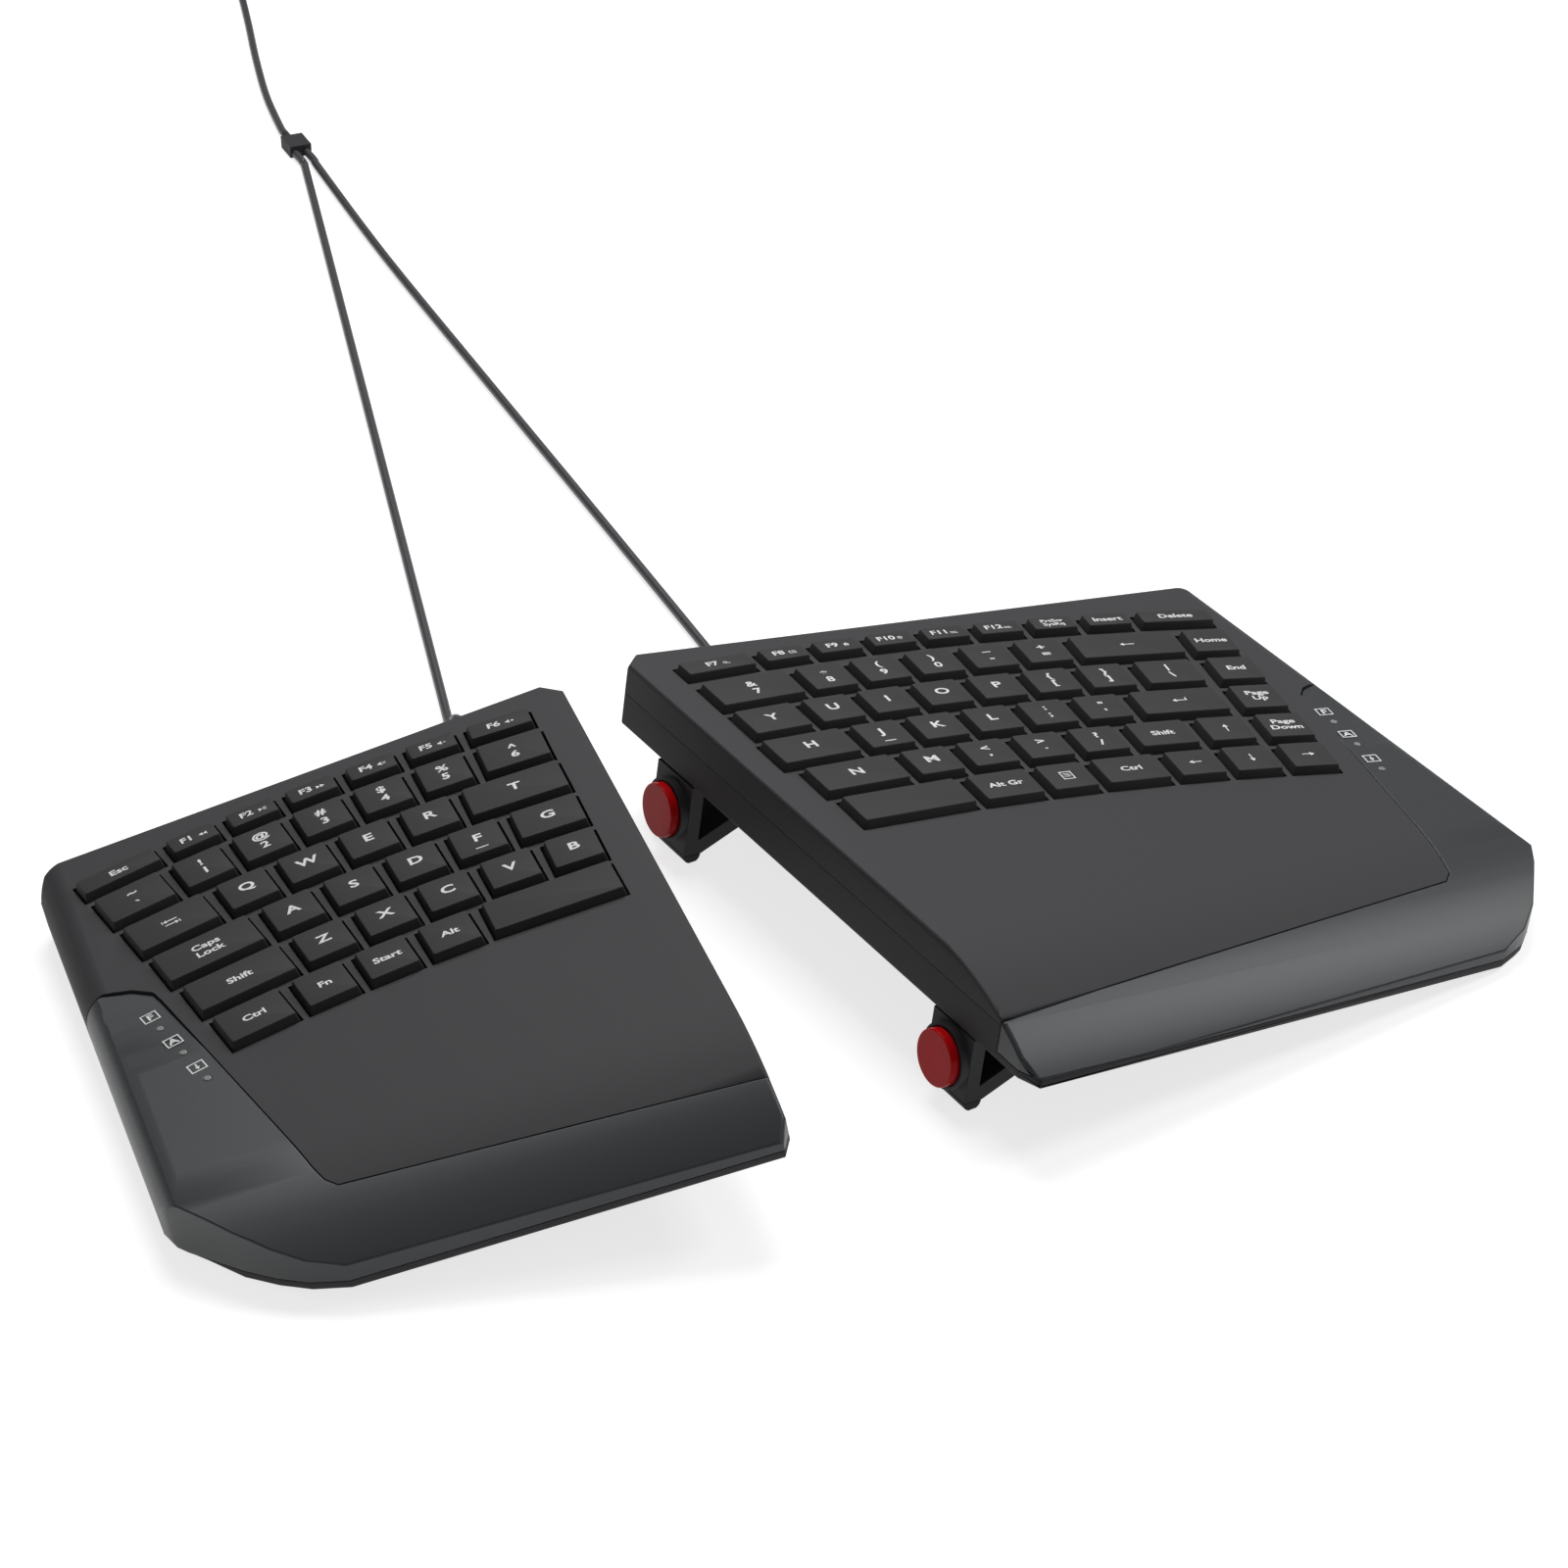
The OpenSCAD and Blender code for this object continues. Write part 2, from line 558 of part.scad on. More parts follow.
module left_dome_sheet() color([0.8, 0.8, 0.76]) at_left() {
    translate([0, 0, sheet_z]) linear_extrude(sheet_t) difference() {
        sheet_area(left_outline, 5, sheet_front);
        screw_holes(left_screw_at);
    }
    left_each() collar_ring();
}
module right_dome_sheet() color([0.8, 0.8, 0.76]) at_right() {
    translate([0, 0, sheet_z]) linear_extrude(sheet_t) difference() {
        sheet_area(right_outline, 5, sheet_front);
        screw_holes(right_screw_at);
    }
    right_each() collar_ring();
}
module left_key_guide() color([0.3, 0.3, 0.32]) at_left() translate([0, 0, guide_z]) difference() {
    linear_extrude(guide_t) difference() {
        sheet_area(left_outline, 5, sheet_front);
        screw_holes(left_screw_at);
    }
    left_each() translate([0, 0, -1]) cylinder(r = stem_r + stem_gap, h = 4, $fn = 24);
}
module right_key_guide() color([0.3, 0.3, 0.32]) at_right() translate([0, 0, guide_z]) difference() {
    linear_extrude(guide_t) difference() {
        sheet_area(right_outline, 5, sheet_front);
        screw_holes(right_screw_at);
    }
    right_each() translate([0, 0, -1]) cylinder(r = stem_r + stem_gap, h = 4, $fn = 24);
}

module screw(p) translate([p[0], p[1], 0.2]) {
    cylinder(r = head_r, h = head_t);
    cylinder(r = screw_r, h = board_z + 4);
}
module left_screws() color([0.55, 0.55, 0.57]) at_left() for (p = left_screw_at) screw(p);
module right_screws() color([0.55, 0.55, 0.57]) at_right() for (p = right_screw_at) screw(p);

// half round strips beside the outer bevel; one further in is as much thicker as the tilt asks
function left_foot_r(x) = foot_r + (x - left_contact) * sin(left_tent);
function right_foot_r(x) = foot_r + (right_contact - x) * sin(right_tent);
module strip(p, r) translate([p[0], p[1], 0]) intersection() {
    rotate([90, 0, 0]) cylinder(r = r, h = foot_l, center = true);
    translate([-10, -50, -10]) cube([20, 100, 10]);
}
module left_feet() color([0.12, 0.12, 0.12]) on_floor() at_left()
    for (p = left_foot_at) strip(p, left_foot_r(p[0]));
module right_feet() color([0.12, 0.12, 0.12]) on_floor() at_right()
    for (p = right_foot_at) strip(p, right_foot_r(p[0]));

// strain reliefs: a flanged sleeve in the back wall and a tapered nose
module gland() rotate([-90, 0, 0]) {
    translate([0, 0, -wall - 1]) cylinder(r = sleeve_r, h = wall + 1.6);
    translate([0, 0, 0.6]) cylinder(r = gland_r, h = 2);
    translate([0, 0, 2.6]) cylinder(r1 = gland_r - 0.4, r2 = cord_d / 2 + 0.3, h = gland_l - 2.6);
}
module left_gland() color([0.08, 0.08, 0.09]) at_left()
    translate([left_exit[0], left_exit[1], exit_z]) gland();
module right_gland() color([0.08, 0.08, 0.09]) at_right()
    translate([right_exit[0], right_exit[1], exit_z]) gland();

// a tube along points: rings square to the path
function ring_dir(p, i) = unit(i == 0 ? p[1] - p[0]
    : i == len(p) - 1 ? p[i] - p[i - 1]
    : unit(p[i + 1] - p[i]) + unit(p[i] - p[i - 1]));
function side_of(d, up) = unit(cross(d, up));
function ring(c, d, r, n, up) = let (s = side_of(d, up), t = cross(s, d))
    [for (j = [0 : n - 1]) c + r * (cos(360 * j / n) * s + sin(360 * j / n) * t)];
module tube(p, r, n, up = [0, 0, 1]) {
    m = len(p);
    pts = [for (i = [0 : m - 1]) each ring(p[i], ring_dir(p, i), r, n, up)];
    sides = [for (i = [0 : m - 2], j = [0 : n - 1])
        [i * n + j, i * n + (j + 1) % n, (i + 1) * n + (j + 1) % n, (i + 1) * n + j]];
    first = [for (j = [n - 1 : -1 : 0]) j];
    last = [for (j = [0 : n - 1]) (m - 1) * n + j];
    polyhedron(pts, concat([first], sides, [last]), convexity = 10);
}
// a smooth curve through hand-set points that never dips under the floor
function lay(q) = [q[0], q[1], max(q[2], lie_z)];
function hermite(a, b, ta, tb, t) = (2 * t * t * t - 3 * t * t + 1) * a + (t * t * t - 2 * t * t + t) * ta
    + (3 * t * t - 2 * t * t * t) * b + (t * t * t - t * t) * tb;
function slope_at(p, i) = i == 0 ? p[1] - p[0]
    : i == len(p) - 1 ? p[i] - p[i - 1]
    : (p[i + 1] - p[i - 1]) / 2;
function smooth(p, k) = concat([for (i = [0 : len(p) - 2], s = [0 : k - 1])
    lay(hermite(p[i], p[i + 1], slope_at(p, i), slope_at(p, i + 1), s / k))], [p[len(p) - 1]]);

fork_at = [48.7, 607.5];
left_start = left_world([left_exit[0], left_exit[1] + gland_l, exit_z]);
right_start = right_world([right_exit[0], right_exit[1] + gland_l, exit_z]);
// a lead leaves its strain relief square to the wall and then bends down
function outlet(p) = [p, p + [0, 3, 0], p + [0, 6, 0], p + [0, 11, -2.2]];
left_path = concat(outlet(left_start), [[-57, 140, 18], [-51, 165, lie_z],
    [-30, 258, lie_z], [-2, 382, lie_z], [26, 506, lie_z], [fork_at[0] - 4.4, fork_at[1] - 20, lie_z],
    [fork_at[0] - 2.4, fork_at[1] - 10, lie_z], [fork_at[0] - 2.4, fork_at[1], lie_z]]);
right_path = concat(outlet(right_start), [[41.2, 144, 13], [42.2, 161, lie_z], [42.6, 182, lie_z],
    [43.8, 270, lie_z], [45.2, 390, lie_z], [46.8, 500, lie_z], [fork_at[0] + 1.6, fork_at[1] - 20, lie_z],
    [fork_at[0] + 2.4, fork_at[1] - 10, lie_z], [fork_at[0] + 2.4, fork_at[1], lie_z]]);
fork_end = [fork_at[0], fork_at[1] + fork_l, lie_z];
cord_path = [fork_end, fork_end + [0.5, 8, 0], [54, 668, lie_z], [62.5, 708, lie_z],
    [72.5, 750, lie_z], [80, 785, lie_z], [80, 800, lie_z]];
coil_at = cord_path[len(cord_path) - 1] + [0, cord_d, 0];
module left_lead() color([0.22, 0.22, 0.23]) tube(smooth(left_path, 3), cord_d / 2, 8);
module right_lead() color([0.22, 0.22, 0.23]) tube(smooth(right_path, 3), cord_d / 2, 8);
module cord_fork() color([0.1, 0.1, 0.11]) translate([fork_at[0], fork_at[1], 0]) {
    translate([-fork_r, 0, 0]) cube([2 * fork_r, fork_l * 0.6, cord_d + 1.6]);
    translate([0, fork_l * 0.6, lie_z]) rotate([-90, 0, 0]) cylinder(r = lie_z, h = fork_l * 0.4);
}
module main_cord() color([0.22, 0.22, 0.23]) tube(smooth(cord_path, 3), cord_d / 2, 8);
// coil: loops round a level axis, entered and left along the floor
coil_n = 24;
coil_loop = [for (i = [0 : coil_loops * coil_n]) let (a = 360 * i / coil_n)
    coil_at + [coil_pitch * i / coil_n, coil_r * sin(a), coil_r * (1 - cos(a))]];
coil_end = coil_loop[len(coil_loop) - 1];
// the free end runs clear of the loops before the plug
coil_path = concat([coil_at - [0, cord_d, 0]], coil_loop, [coil_end + [0, coil_r + cord_d, 0]]);
module cord_coil() color([0.22, 0.22, 0.23]) tube(coil_path, cord_d / 2, 6, [1, 0, 0]);
tie_w = 6;
tie_at = coil_at + [coil_pitch * coil_loops / 2, 0, 2 * coil_r];
module cord_tie() color([0.05, 0.05, 0.05]) translate(tie_at) difference() {
    cube([coil_pitch * (coil_loops + 1) + cord_d + 1, tie_w, cord_d + 2.4], center = true);
    cube([coil_pitch * (coil_loops + 1) + cord_d - 0.6, tie_w + 1, cord_d + 0.8], center = true);
}
plug_at = coil_path[len(coil_path) - 1];
module usb_plug() color([0.1, 0.1, 0.11]) translate([plug_at[0], plug_at[1], 0]) {
    translate([0, 0, lie_z]) rotate([-90, 0, 0]) cylinder(r1 = cord_d / 2, r2 = cord_d / 2, h = 8 + eps);
    translate([-plug_w / 2, 8, 0]) cube([plug_w, plug_l, plug_h]);
}
module usb_shell() color([0.7, 0.71, 0.73])
    translate([plug_at[0] - 6, plug_at[1] + 8 + plug_l, plug_h / 2 - 2.25]) difference() {
        cube([12, 12, 4.5]);
        translate([0.4, -1, 2.2]) cube([11.2, 14, 1.9]);
    }

module left_keys_f() left_row(0);
module left_keys_1() left_row(1);
module left_keys_2() left_row(2);
module left_keys_3() left_row(3);
module left_keys_4() left_row(4);
module left_keys_5() left_row(5);
module left_caps_key() left_one(left_caps_lock);
module left_shift_key() left_one(left_shift);
module left_space_key() left_one(left_space);
module right_keys_f() right_row(0);
module right_keys_1() right_row(1);
module right_keys_2() right_row(2);
module right_keys_3() right_row(3);
module right_keys_4() right_row(4);
module right_keys_5() right_row(5);
module right_backspace_key() right_one(right_backspace);
module right_enter_key() right_one(right_enter);
module right_space_key() right_one(right_space);

left_top_cover();
left_palm_trim();
left_bottom_case();
left_key_guide();
left_dome_sheet();
left_circuit_board();
left_led_lenses();
left_feet();
left_screws();
left_gland();
right_top_cover();
right_palm_trim();
right_bottom_case();
right_key_guide();
right_dome_sheet();
right_circuit_board();
right_led_lenses();
right_feet();
right_screws();
right_gland();
left_rear_riser();
left_rear_button();
left_rear_pad();
left_front_riser();
left_front_button();
left_front_pad();
right_rear_riser();
right_rear_button();
right_rear_pad();
right_front_riser();
right_front_button();
right_front_pad();
left_keys_f();
left_keys_1();
left_keys_2();
left_keys_3();
left_keys_4();
left_keys_5();
left_caps_key();
left_shift_key();
left_space_key();
right_keys_f();
right_keys_1();
right_keys_2();
right_keys_3();
right_keys_4();
right_keys_5();
right_backspace_key();
right_enter_key();
right_space_key();
left_lead();
right_lead();
cord_fork();
main_cord();
cord_coil();
cord_tie();
usb_plug();
usb_shell();
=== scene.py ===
"""Split ergonomic keyboard on a pale studio floor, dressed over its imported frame."""

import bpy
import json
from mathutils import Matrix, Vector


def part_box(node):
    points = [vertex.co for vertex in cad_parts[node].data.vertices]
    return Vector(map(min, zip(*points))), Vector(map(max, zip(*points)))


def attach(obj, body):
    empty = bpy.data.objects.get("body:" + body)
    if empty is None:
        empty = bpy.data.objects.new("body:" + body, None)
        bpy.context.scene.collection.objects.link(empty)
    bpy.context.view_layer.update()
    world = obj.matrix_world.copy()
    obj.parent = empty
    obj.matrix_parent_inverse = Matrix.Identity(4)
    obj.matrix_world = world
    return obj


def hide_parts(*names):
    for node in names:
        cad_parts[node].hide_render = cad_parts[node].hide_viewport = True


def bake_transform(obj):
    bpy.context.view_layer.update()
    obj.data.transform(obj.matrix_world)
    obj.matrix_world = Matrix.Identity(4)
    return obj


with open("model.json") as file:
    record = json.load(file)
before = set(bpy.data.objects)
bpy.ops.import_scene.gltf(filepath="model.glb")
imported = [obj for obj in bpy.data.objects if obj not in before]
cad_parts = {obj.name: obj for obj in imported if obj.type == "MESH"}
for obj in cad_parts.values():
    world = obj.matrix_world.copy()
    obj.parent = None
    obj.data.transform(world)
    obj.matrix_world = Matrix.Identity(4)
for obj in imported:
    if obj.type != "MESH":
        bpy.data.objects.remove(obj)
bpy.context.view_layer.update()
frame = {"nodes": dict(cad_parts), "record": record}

import json
import math
from collections import namedtuple

import bmesh
import bpy
from mathutils import Matrix, Vector

bl_info = {
    "name": "Split Ergonomic Keyboard",
    "version": (1, 0, 0),
    "blender": (4, 5, 0),
    "location": "View3D > Sidebar > Keyboard",
    "description": "Dresses the frame of a split keyboard: shells, keys, legends, risers and cord",
    "category": "Object",
}

MM = 0.001
SIDES = ("left", "right")
HALF_BODY = {"left": "left_half", "right": "right_half"}
RISERS = ("left_rear", "left_front", "right_rear", "right_front")
KEY_NODES = {
    "left": ("left_keys_f", "left_keys_1", "left_keys_2", "left_keys_3", "left_keys_4", "left_keys_5",
             "left_caps_key", "left_shift_key", "left_space_key"),
    "right": ("right_keys_f", "right_keys_1", "right_keys_2", "right_keys_3", "right_keys_4", "right_keys_5",
              "right_backspace_key", "right_enter_key", "right_space_key"),
}

# What is printed on each key, from left to right: plain words, or a sign between angle brackets.
# A bar splits the upper sign from the lower one, and a plus joins a word and the sign beside it.
LEGENDS = {
    "left_keys_f": ["Esc", "F1+<rewind>", "F2+<play>", "F3+<forward>", "F4+<mute>", "F5+<quieter>",
                    "F6+<louder>"],
    "left_keys_1": ["~|`", "!|1", "@|2", "#|3", "$|4", "%|5", "^|6"],
    "left_keys_2": ["<tab>", "Q", "W", "E", "R", "T"],
    "left_keys_3": ["A", "S", "D", "F<bump>", "G"],
    "left_keys_4": ["Z", "X", "C", "V", "B"],
    "left_keys_5": ["Ctrl", "Fn", "Start", "Alt"],
    "left_caps_key": ["Caps|Lock"],
    "left_shift_key": ["Shift"],
    "left_space_key": [""],
    "right_keys_f": ["F7+<search>", "F8+<mail>", "F9+<house>", "F10+<globe>", "F11+<dash>", "F12+<dash>",
                     "PrtScr|SysRq", "Insert", "Delete"],
    "right_keys_1": ["&|7", "*|8", "(|9", ")|0", "_|-", "+|=", "Home"],
    "right_keys_2": ["Y", "U", "I", "O", "P", "{|[", "}|]", "||\\", "End"],
    "right_keys_3": ["H", "J<bump>", "K", "L", ":|;", "\"|'", "Page|Up"],
    "right_keys_4": ["N", "M", "<|,", ">|.", "?|/", "Shift", "<up>", "Page|Down"],
    "right_keys_5": ["Alt Gr", "<menu>", "Ctrl", "<left>", "<down>", "<right>"],
    "right_backspace_key": ["<back>"],
    "right_enter_key": ["<enter>"],
    "right_space_key": [""],
}

# The route of the leads and the cord in the CAD frame, in metres: listed points between the glands,
# the fork and the coil. On the floor their middle lies at half their thickness.
LIE = 0.0016
LEFT_ROUTE = [
    (-0.057, 0.140, 0.018), (-0.051, 0.165, LIE), (-0.030, 0.258, LIE), (-0.002, 0.382, LIE),
    (0.026, 0.506, LIE), (0.0443, 0.5875, LIE), (0.0463, 0.5975, LIE), (0.0463, 0.6075, LIE)]
RIGHT_ROUTE = [
    (0.0412, 0.144, 0.013), (0.0422, 0.161, LIE), (0.0426, 0.182, LIE), (0.0438, 0.270, LIE),
    (0.0452, 0.390, LIE), (0.0468, 0.500, LIE), (0.0503, 0.5875, LIE), (0.0511, 0.5975, LIE),
    (0.0511, 0.6075, LIE)]
MAIN_ROUTE = [
    (0.0487, 0.6275, LIE), (0.0492, 0.6355, LIE), (0.0540, 0.668, LIE), (0.0625, 0.708, LIE),
    (0.0725, 0.750, LIE), (0.0800, 0.785, LIE), (0.0800, 0.800, LIE)]
# How a lead leaves its gland: steps to the back and down.
OUTLET_STEPS = ((0, 0), (0.003, 0), (0.006, 0), (0.011, -0.0022))
ROUTE_STEPS = 6
COIL_LOOPS = 9
COIL_RADIUS = 0.017
COIL_PITCH = 0.004
COIL_STEPS = 24

# Clean-up and rounding: vertices nearer than WELD are one, and angles are in degrees.
WELD = 1e-6
FLAT_ANGLE = 0.6
SHARP_ANGLE = 28
SHELL_SHADING = 32
KEY_SHADING = 34
CORD_SHADING = 50
CORD_ROUNDNESS = 4

# Shells: heights of the lip and the seam over a half's underside, and how near an edge counts as on them,
# as on the outline, as standing upright and as at the inner end.
SEAM_HEIGHTS = (3 * MM, 11.4 * MM)
SEAM_REACH = 0.1 * MM
OUTLINE_REACH = 0.3 * MM
UPRIGHT = 0.9
INNER_REACH = 4 * MM
CASE_SEGMENTS = 3
TRIM_SEGMENTS = 5

# Key caps: growth from top to skirt, wall, depth of the hollow, stem, and how the solids are read.
KEY_FLARE = 2 * MM
KEY_WALL = 1.3 * MM
KEY_HOLLOW = 3.6 * MM
STEM_RADIUS = 3 * MM
STEM_SIDES = 24
STEM_ZONE = 6 * MM
TOP_BAND = 0.05 * MM
KeyPlace = namedtuple("KeyPlace", "along grid width depth skirt reach")

# Printing: lift of the ink over a surface, shape of the letters, and places of the signs on a key.
INK_LIFT = 0.03 * MM
BAR_LIFT = 0.12 * MM
BAR_PLACE = -0.33
LETTER_WEIGHT = 0.028
LETTER_STRETCH = 1.28
SMALL_KEY_DEPTH = 9 * MM
SMALL_KEY_SHARE = 0.72
PAIR_SHARE = 0.86
SMALL_GAP = 1.25 * MM
WORD_GAP = 1.6 * MM
SIGN_GAP = 2.2 * MM
LETTER_RISE = 0.6 * MM
WORD_SHIFT = (-1.9 * MM, 0.2 * MM)
MARK_SHIFT = (2.9 * MM, -0.3 * MM)

# The boxed signs behind the indicator lenses, from back to front. Their box and arrow are in millimetres, and
# the ink lies as far under the tops of the lenses as these rise.
INDICATOR_TEXTS = ("F", "A", "<down>")
INDICATOR_BOX = (5.0, 4.2, 0.42)
INDICATOR_ARROW = (2.6, 0.8, 0.5)
INDICATOR_LETTER = 0.72
INDICATOR_BACK = 6.6 * MM
LENS_RISE = 0.17 * MM

# Stage: the camera stands and looks as the photograph's did, and each lamp has a name, place, size and power.
CAMERA_PLACE = (-0.44138, -0.97824, 0.72944)
CAMERA_LOOK = (0.34414, 0.77542, -0.52956)
CAMERA_SENSOR = 36
CAMERA_LENS = 101.25
CAMERA_REACH = 50
FLOOR_SIZE = 6
FLOOR_Z = -0.2 * MM
FLOOR_GREY = 0.55
FLOOR_GLOW = 0.75
FLOOR_ROUGHNESS = 0.8
FLOOR_SPECULAR = 0.1
WORLD_LIGHT = 0.15
LAMPS = (("over", (0.35, 0.95, 1.6), 1.0, 23), ("side", (1.25, -0.1, 1.2), 0.5, 7))


class KeyboardSizes(bpy.types.PropertyGroup):
    """Sizes of the visible details."""

    edge_radius: bpy.props.FloatProperty(
        name="Edge Radius", description="Radius of the case's free edges", default=1.3 * MM, unit="LENGTH")
    fold_radius: bpy.props.FloatProperty(
        name="Fold Radius", description="Radius of the fold along a trim's free edge", default=0.5 * MM,
        unit="LENGTH")
    seam_radius: bpy.props.FloatProperty(
        name="Seam Radius", description="Radius of edges along seams and openings", default=0.3 * MM,
        unit="LENGTH")
    key_corner: bpy.props.FloatProperty(
        name="Key Corner", description="Radius of a key's corners seen from above", default=0.55 * MM,
        unit="LENGTH")
    key_edge: bpy.props.FloatProperty(
        name="Key Edge", description="Radius of the edge round a key's top", default=0.28 * MM, unit="LENGTH")
    letter: bpy.props.FloatProperty(
        name="Letter", description="Font size of the letters", default=4.8 * MM, unit="LENGTH")
    word: bpy.props.FloatProperty(
        name="Word", description="Font size of the words", default=3.4 * MM, unit="LENGTH")
    cord: bpy.props.FloatProperty(
        name="Cord", description="Diameter of the leads and the cord", default=3.2 * MM, unit="LENGTH")


class KeyboardColours(bpy.types.PropertyGroup):
    """Colours of the finishes."""

    case: bpy.props.FloatVectorProperty(
        name="Case", description="Grained black of the deck", default=(0.036, 0.036, 0.0365), subtype="COLOR")
    trim: bpy.props.FloatVectorProperty(
        name="Trim", description="Satin black of the front trim", default=(0.042, 0.042, 0.0425),
        subtype="COLOR")
    base: bpy.props.FloatVectorProperty(
        name="Base", description="Black of the bottom case and risers", default=(0.009, 0.009, 0.0095),
        subtype="COLOR")
    key: bpy.props.FloatVectorProperty(
        name="Key", description="Black of the keys", default=(0.03, 0.03, 0.0305), subtype="COLOR")
    legend: bpy.props.FloatVectorProperty(
        name="Legend", description="White of the printed signs", default=(0.82, 0.82, 0.82), subtype="COLOR")
    button: bpy.props.FloatVectorProperty(
        name="Button", description="Red of the release buttons", default=(0.72, 0.004, 0.007),
        subtype="COLOR")
    cord: bpy.props.FloatVectorProperty(
        name="Cord", description="Grey of the cord", default=(0.05, 0.05, 0.052), subtype="COLOR")


def sizes():
    """The sizes set in the panel."""
    return bpy.context.scene.keyboard_sizes


def colours():
    """The colours set in the panel."""
    return bpy.context.scene.keyboard_colours


def half_frame(side):
    """Frame of a half: x along the rows, y to the back, z = 0 on the underside, tilted as its keys travel."""
    press = next(j for j in frame["record"]["behaviour"]["joints"] if j["name"] == side + "_keys_1_press")
    up = -Vector(press["axis"]).normalized()
    back = Vector((0, 1, 0))
    grid = Matrix((back.cross(up), back, up)).transposed().to_4x4()
    grid.translation = up * min(v.co.dot(up) for v in frame["nodes"][side + "_bottom_case"].data.vertices)
    return grid


# Materials: each is one shader with grain, slight colour drift and worn roughness.

CLOUD_SCALE = 60.0
CLOUD_DETAIL = 4.0
DRIFT_FROM = 0.3
DRIFT_TO = 0.75
GRAIN_DETAIL = 3.0
GRAIN_ROUGHNESS = 0.65
WEAR = 0.06
BUMP_STRENGTH = 0.35


def grained(name, colour, rough, grain, depth, drift=0.12, specular=0.5, metal=0.0, streak=(1, 1, 1)):
    """Moulded, rubbery or metal finish: noise drives colour drift, roughness and a fine bump."""
    made = bpy.data.materials.get(name)
    if made:
        return made
    made = bpy.data.materials.new(name)
    made.use_nodes = True
    nodes, links = made.node_tree.nodes, made.node_tree.links
    shader = nodes["Principled BSDF"]
    shader.inputs["Metallic"].default_value = metal
    shader.inputs["Specular IOR Level"].default_value = specular
    place = nodes.new("ShaderNodeTexCoord")
    spread = nodes.new("ShaderNodeMapping")
    spread.inputs["Scale"].default_value = streak
    links.new(place.outputs["Object"], spread.inputs["Vector"])
    cloud = nodes.new("ShaderNodeTexNoise")
    cloud.inputs["Scale"].default_value = CLOUD_SCALE
    cloud.inputs["Detail"].default_value = CLOUD_DETAIL
    links.new(spread.outputs["Vector"], cloud.inputs["Vector"])
    tint = nodes.new("ShaderNodeValToRGB")
    dark, pale = tint.color_ramp.elements
    dark.position = DRIFT_FROM
    pale.position = DRIFT_TO
    dark.color = [c * (1 - drift) for c in colour] + [1]
    pale.color = [c * (1 + drift) for c in colour] + [1]
    links.new(cloud.outputs["Fac"], tint.inputs["Fac"])
    links.new(tint.outputs["Color"], shader.inputs["Base Color"])
    speck = nodes.new("ShaderNodeTexNoise")
    speck.inputs["Scale"].default_value = grain
    speck.inputs["Detail"].default_value = GRAIN_DETAIL
    speck.inputs["Roughness"].default_value = GRAIN_ROUGHNESS
    links.new(spread.outputs["Vector"], speck.inputs["Vector"])
    worn = nodes.new("ShaderNodeMapRange")
    worn.inputs["To Min"].default_value = rough - WEAR
    worn.inputs["To Max"].default_value = rough + WEAR
    links.new(cloud.outputs["Fac"], worn.inputs["Value"])
    links.new(worn.outputs["Result"], shader.inputs["Roughness"])
    bump = nodes.new("ShaderNodeBump")
    bump.inputs["Strength"].default_value = BUMP_STRENGTH
    bump.inputs["Distance"].default_value = depth
    links.new(speck.outputs["Fac"], bump.inputs["Height"])
    links.new(bump.outputs["Normal"], shader.inputs["Normal"])
    return made


def case_plastic():
    return grained("case_plastic", colours().case, rough=0.5, grain=3200.0, depth=0.05 * MM, specular=0.12)


def trim_plastic():
    return grained("trim_plastic", colours().trim, rough=0.38, grain=2200.0, depth=0.03 * MM, specular=0.35)


def base_plastic():
    return grained("base_plastic", colours().base, rough=0.5, grain=1800.0, depth=0.05 * MM, specular=0.08)


def key_plastic():
    return grained("key_plastic", colours().key, rough=0.45, grain=3600.0, depth=0.04 * MM, specular=0.12)


def legend_ink():
    return grained("legend_ink", colours().legend, rough=0.5, grain=5000.0, depth=0.01 * MM, drift=0.05)


def red_plastic():
    return grained("red_plastic", colours().button, rough=0.32, grain=900.0, depth=0.01 * MM,
                   drift=0.08, specular=0.12)


def cord_rubber():
    return grained("cord_rubber", colours().cord, rough=0.42, grain=1500.0, depth=0.05 * MM, specular=0.45)


def foot_rubber():
    return grained("foot_rubber", (0.012, 0.012, 0.0125), rough=0.75, grain=1200.0, depth=0.1 * MM,
                   specular=0.3)


def bright_steel():
    return grained("bright_steel", (0.55, 0.55, 0.56), rough=0.25, grain=400.0, depth=0.01 * MM,
                   drift=0.05, metal=1.0, streak=(1, 12, 1))


def clear_lens():
    return grained("clear_lens", (0.30, 0.30, 0.29), rough=0.22, grain=900.0, depth=0.01 * MM, drift=0.06)


def board_lacquer():
    return grained("board_lacquer", (0.02, 0.12, 0.05), rough=0.4, grain=700.0, depth=0.02 * MM, drift=0.3)


def dome_silicone():
    return grained("dome_silicone", (0.5, 0.5, 0.46), rough=0.6, grain=900.0, depth=0.04 * MM)


# Meshes

def new_object(name, mesh, material):
    """A mesh in one finish, linked into the scene."""
    made = bpy.data.objects.new(name, mesh)
    mesh.materials.clear()
    mesh.materials.append(material)
    bpy.context.scene.collection.objects.link(made)
    return made


def finish_mesh(mesh, angle):
    """Smooth shading, with edges sharper than the angle kept sharp."""
    mesh.polygons.foreach_set("use_smooth", [True] * len(mesh.polygons))
    mesh.set_sharp_from_angle(angle=math.radians(angle))


def welded(node):
    """A CAD node's mesh as a working mesh with its vertices joined."""
    work = bmesh.new()
    work.from_mesh(frame["nodes"][node].data)
    bmesh.ops.remove_doubles(work, verts=work.verts, dist=WELD)
    return work


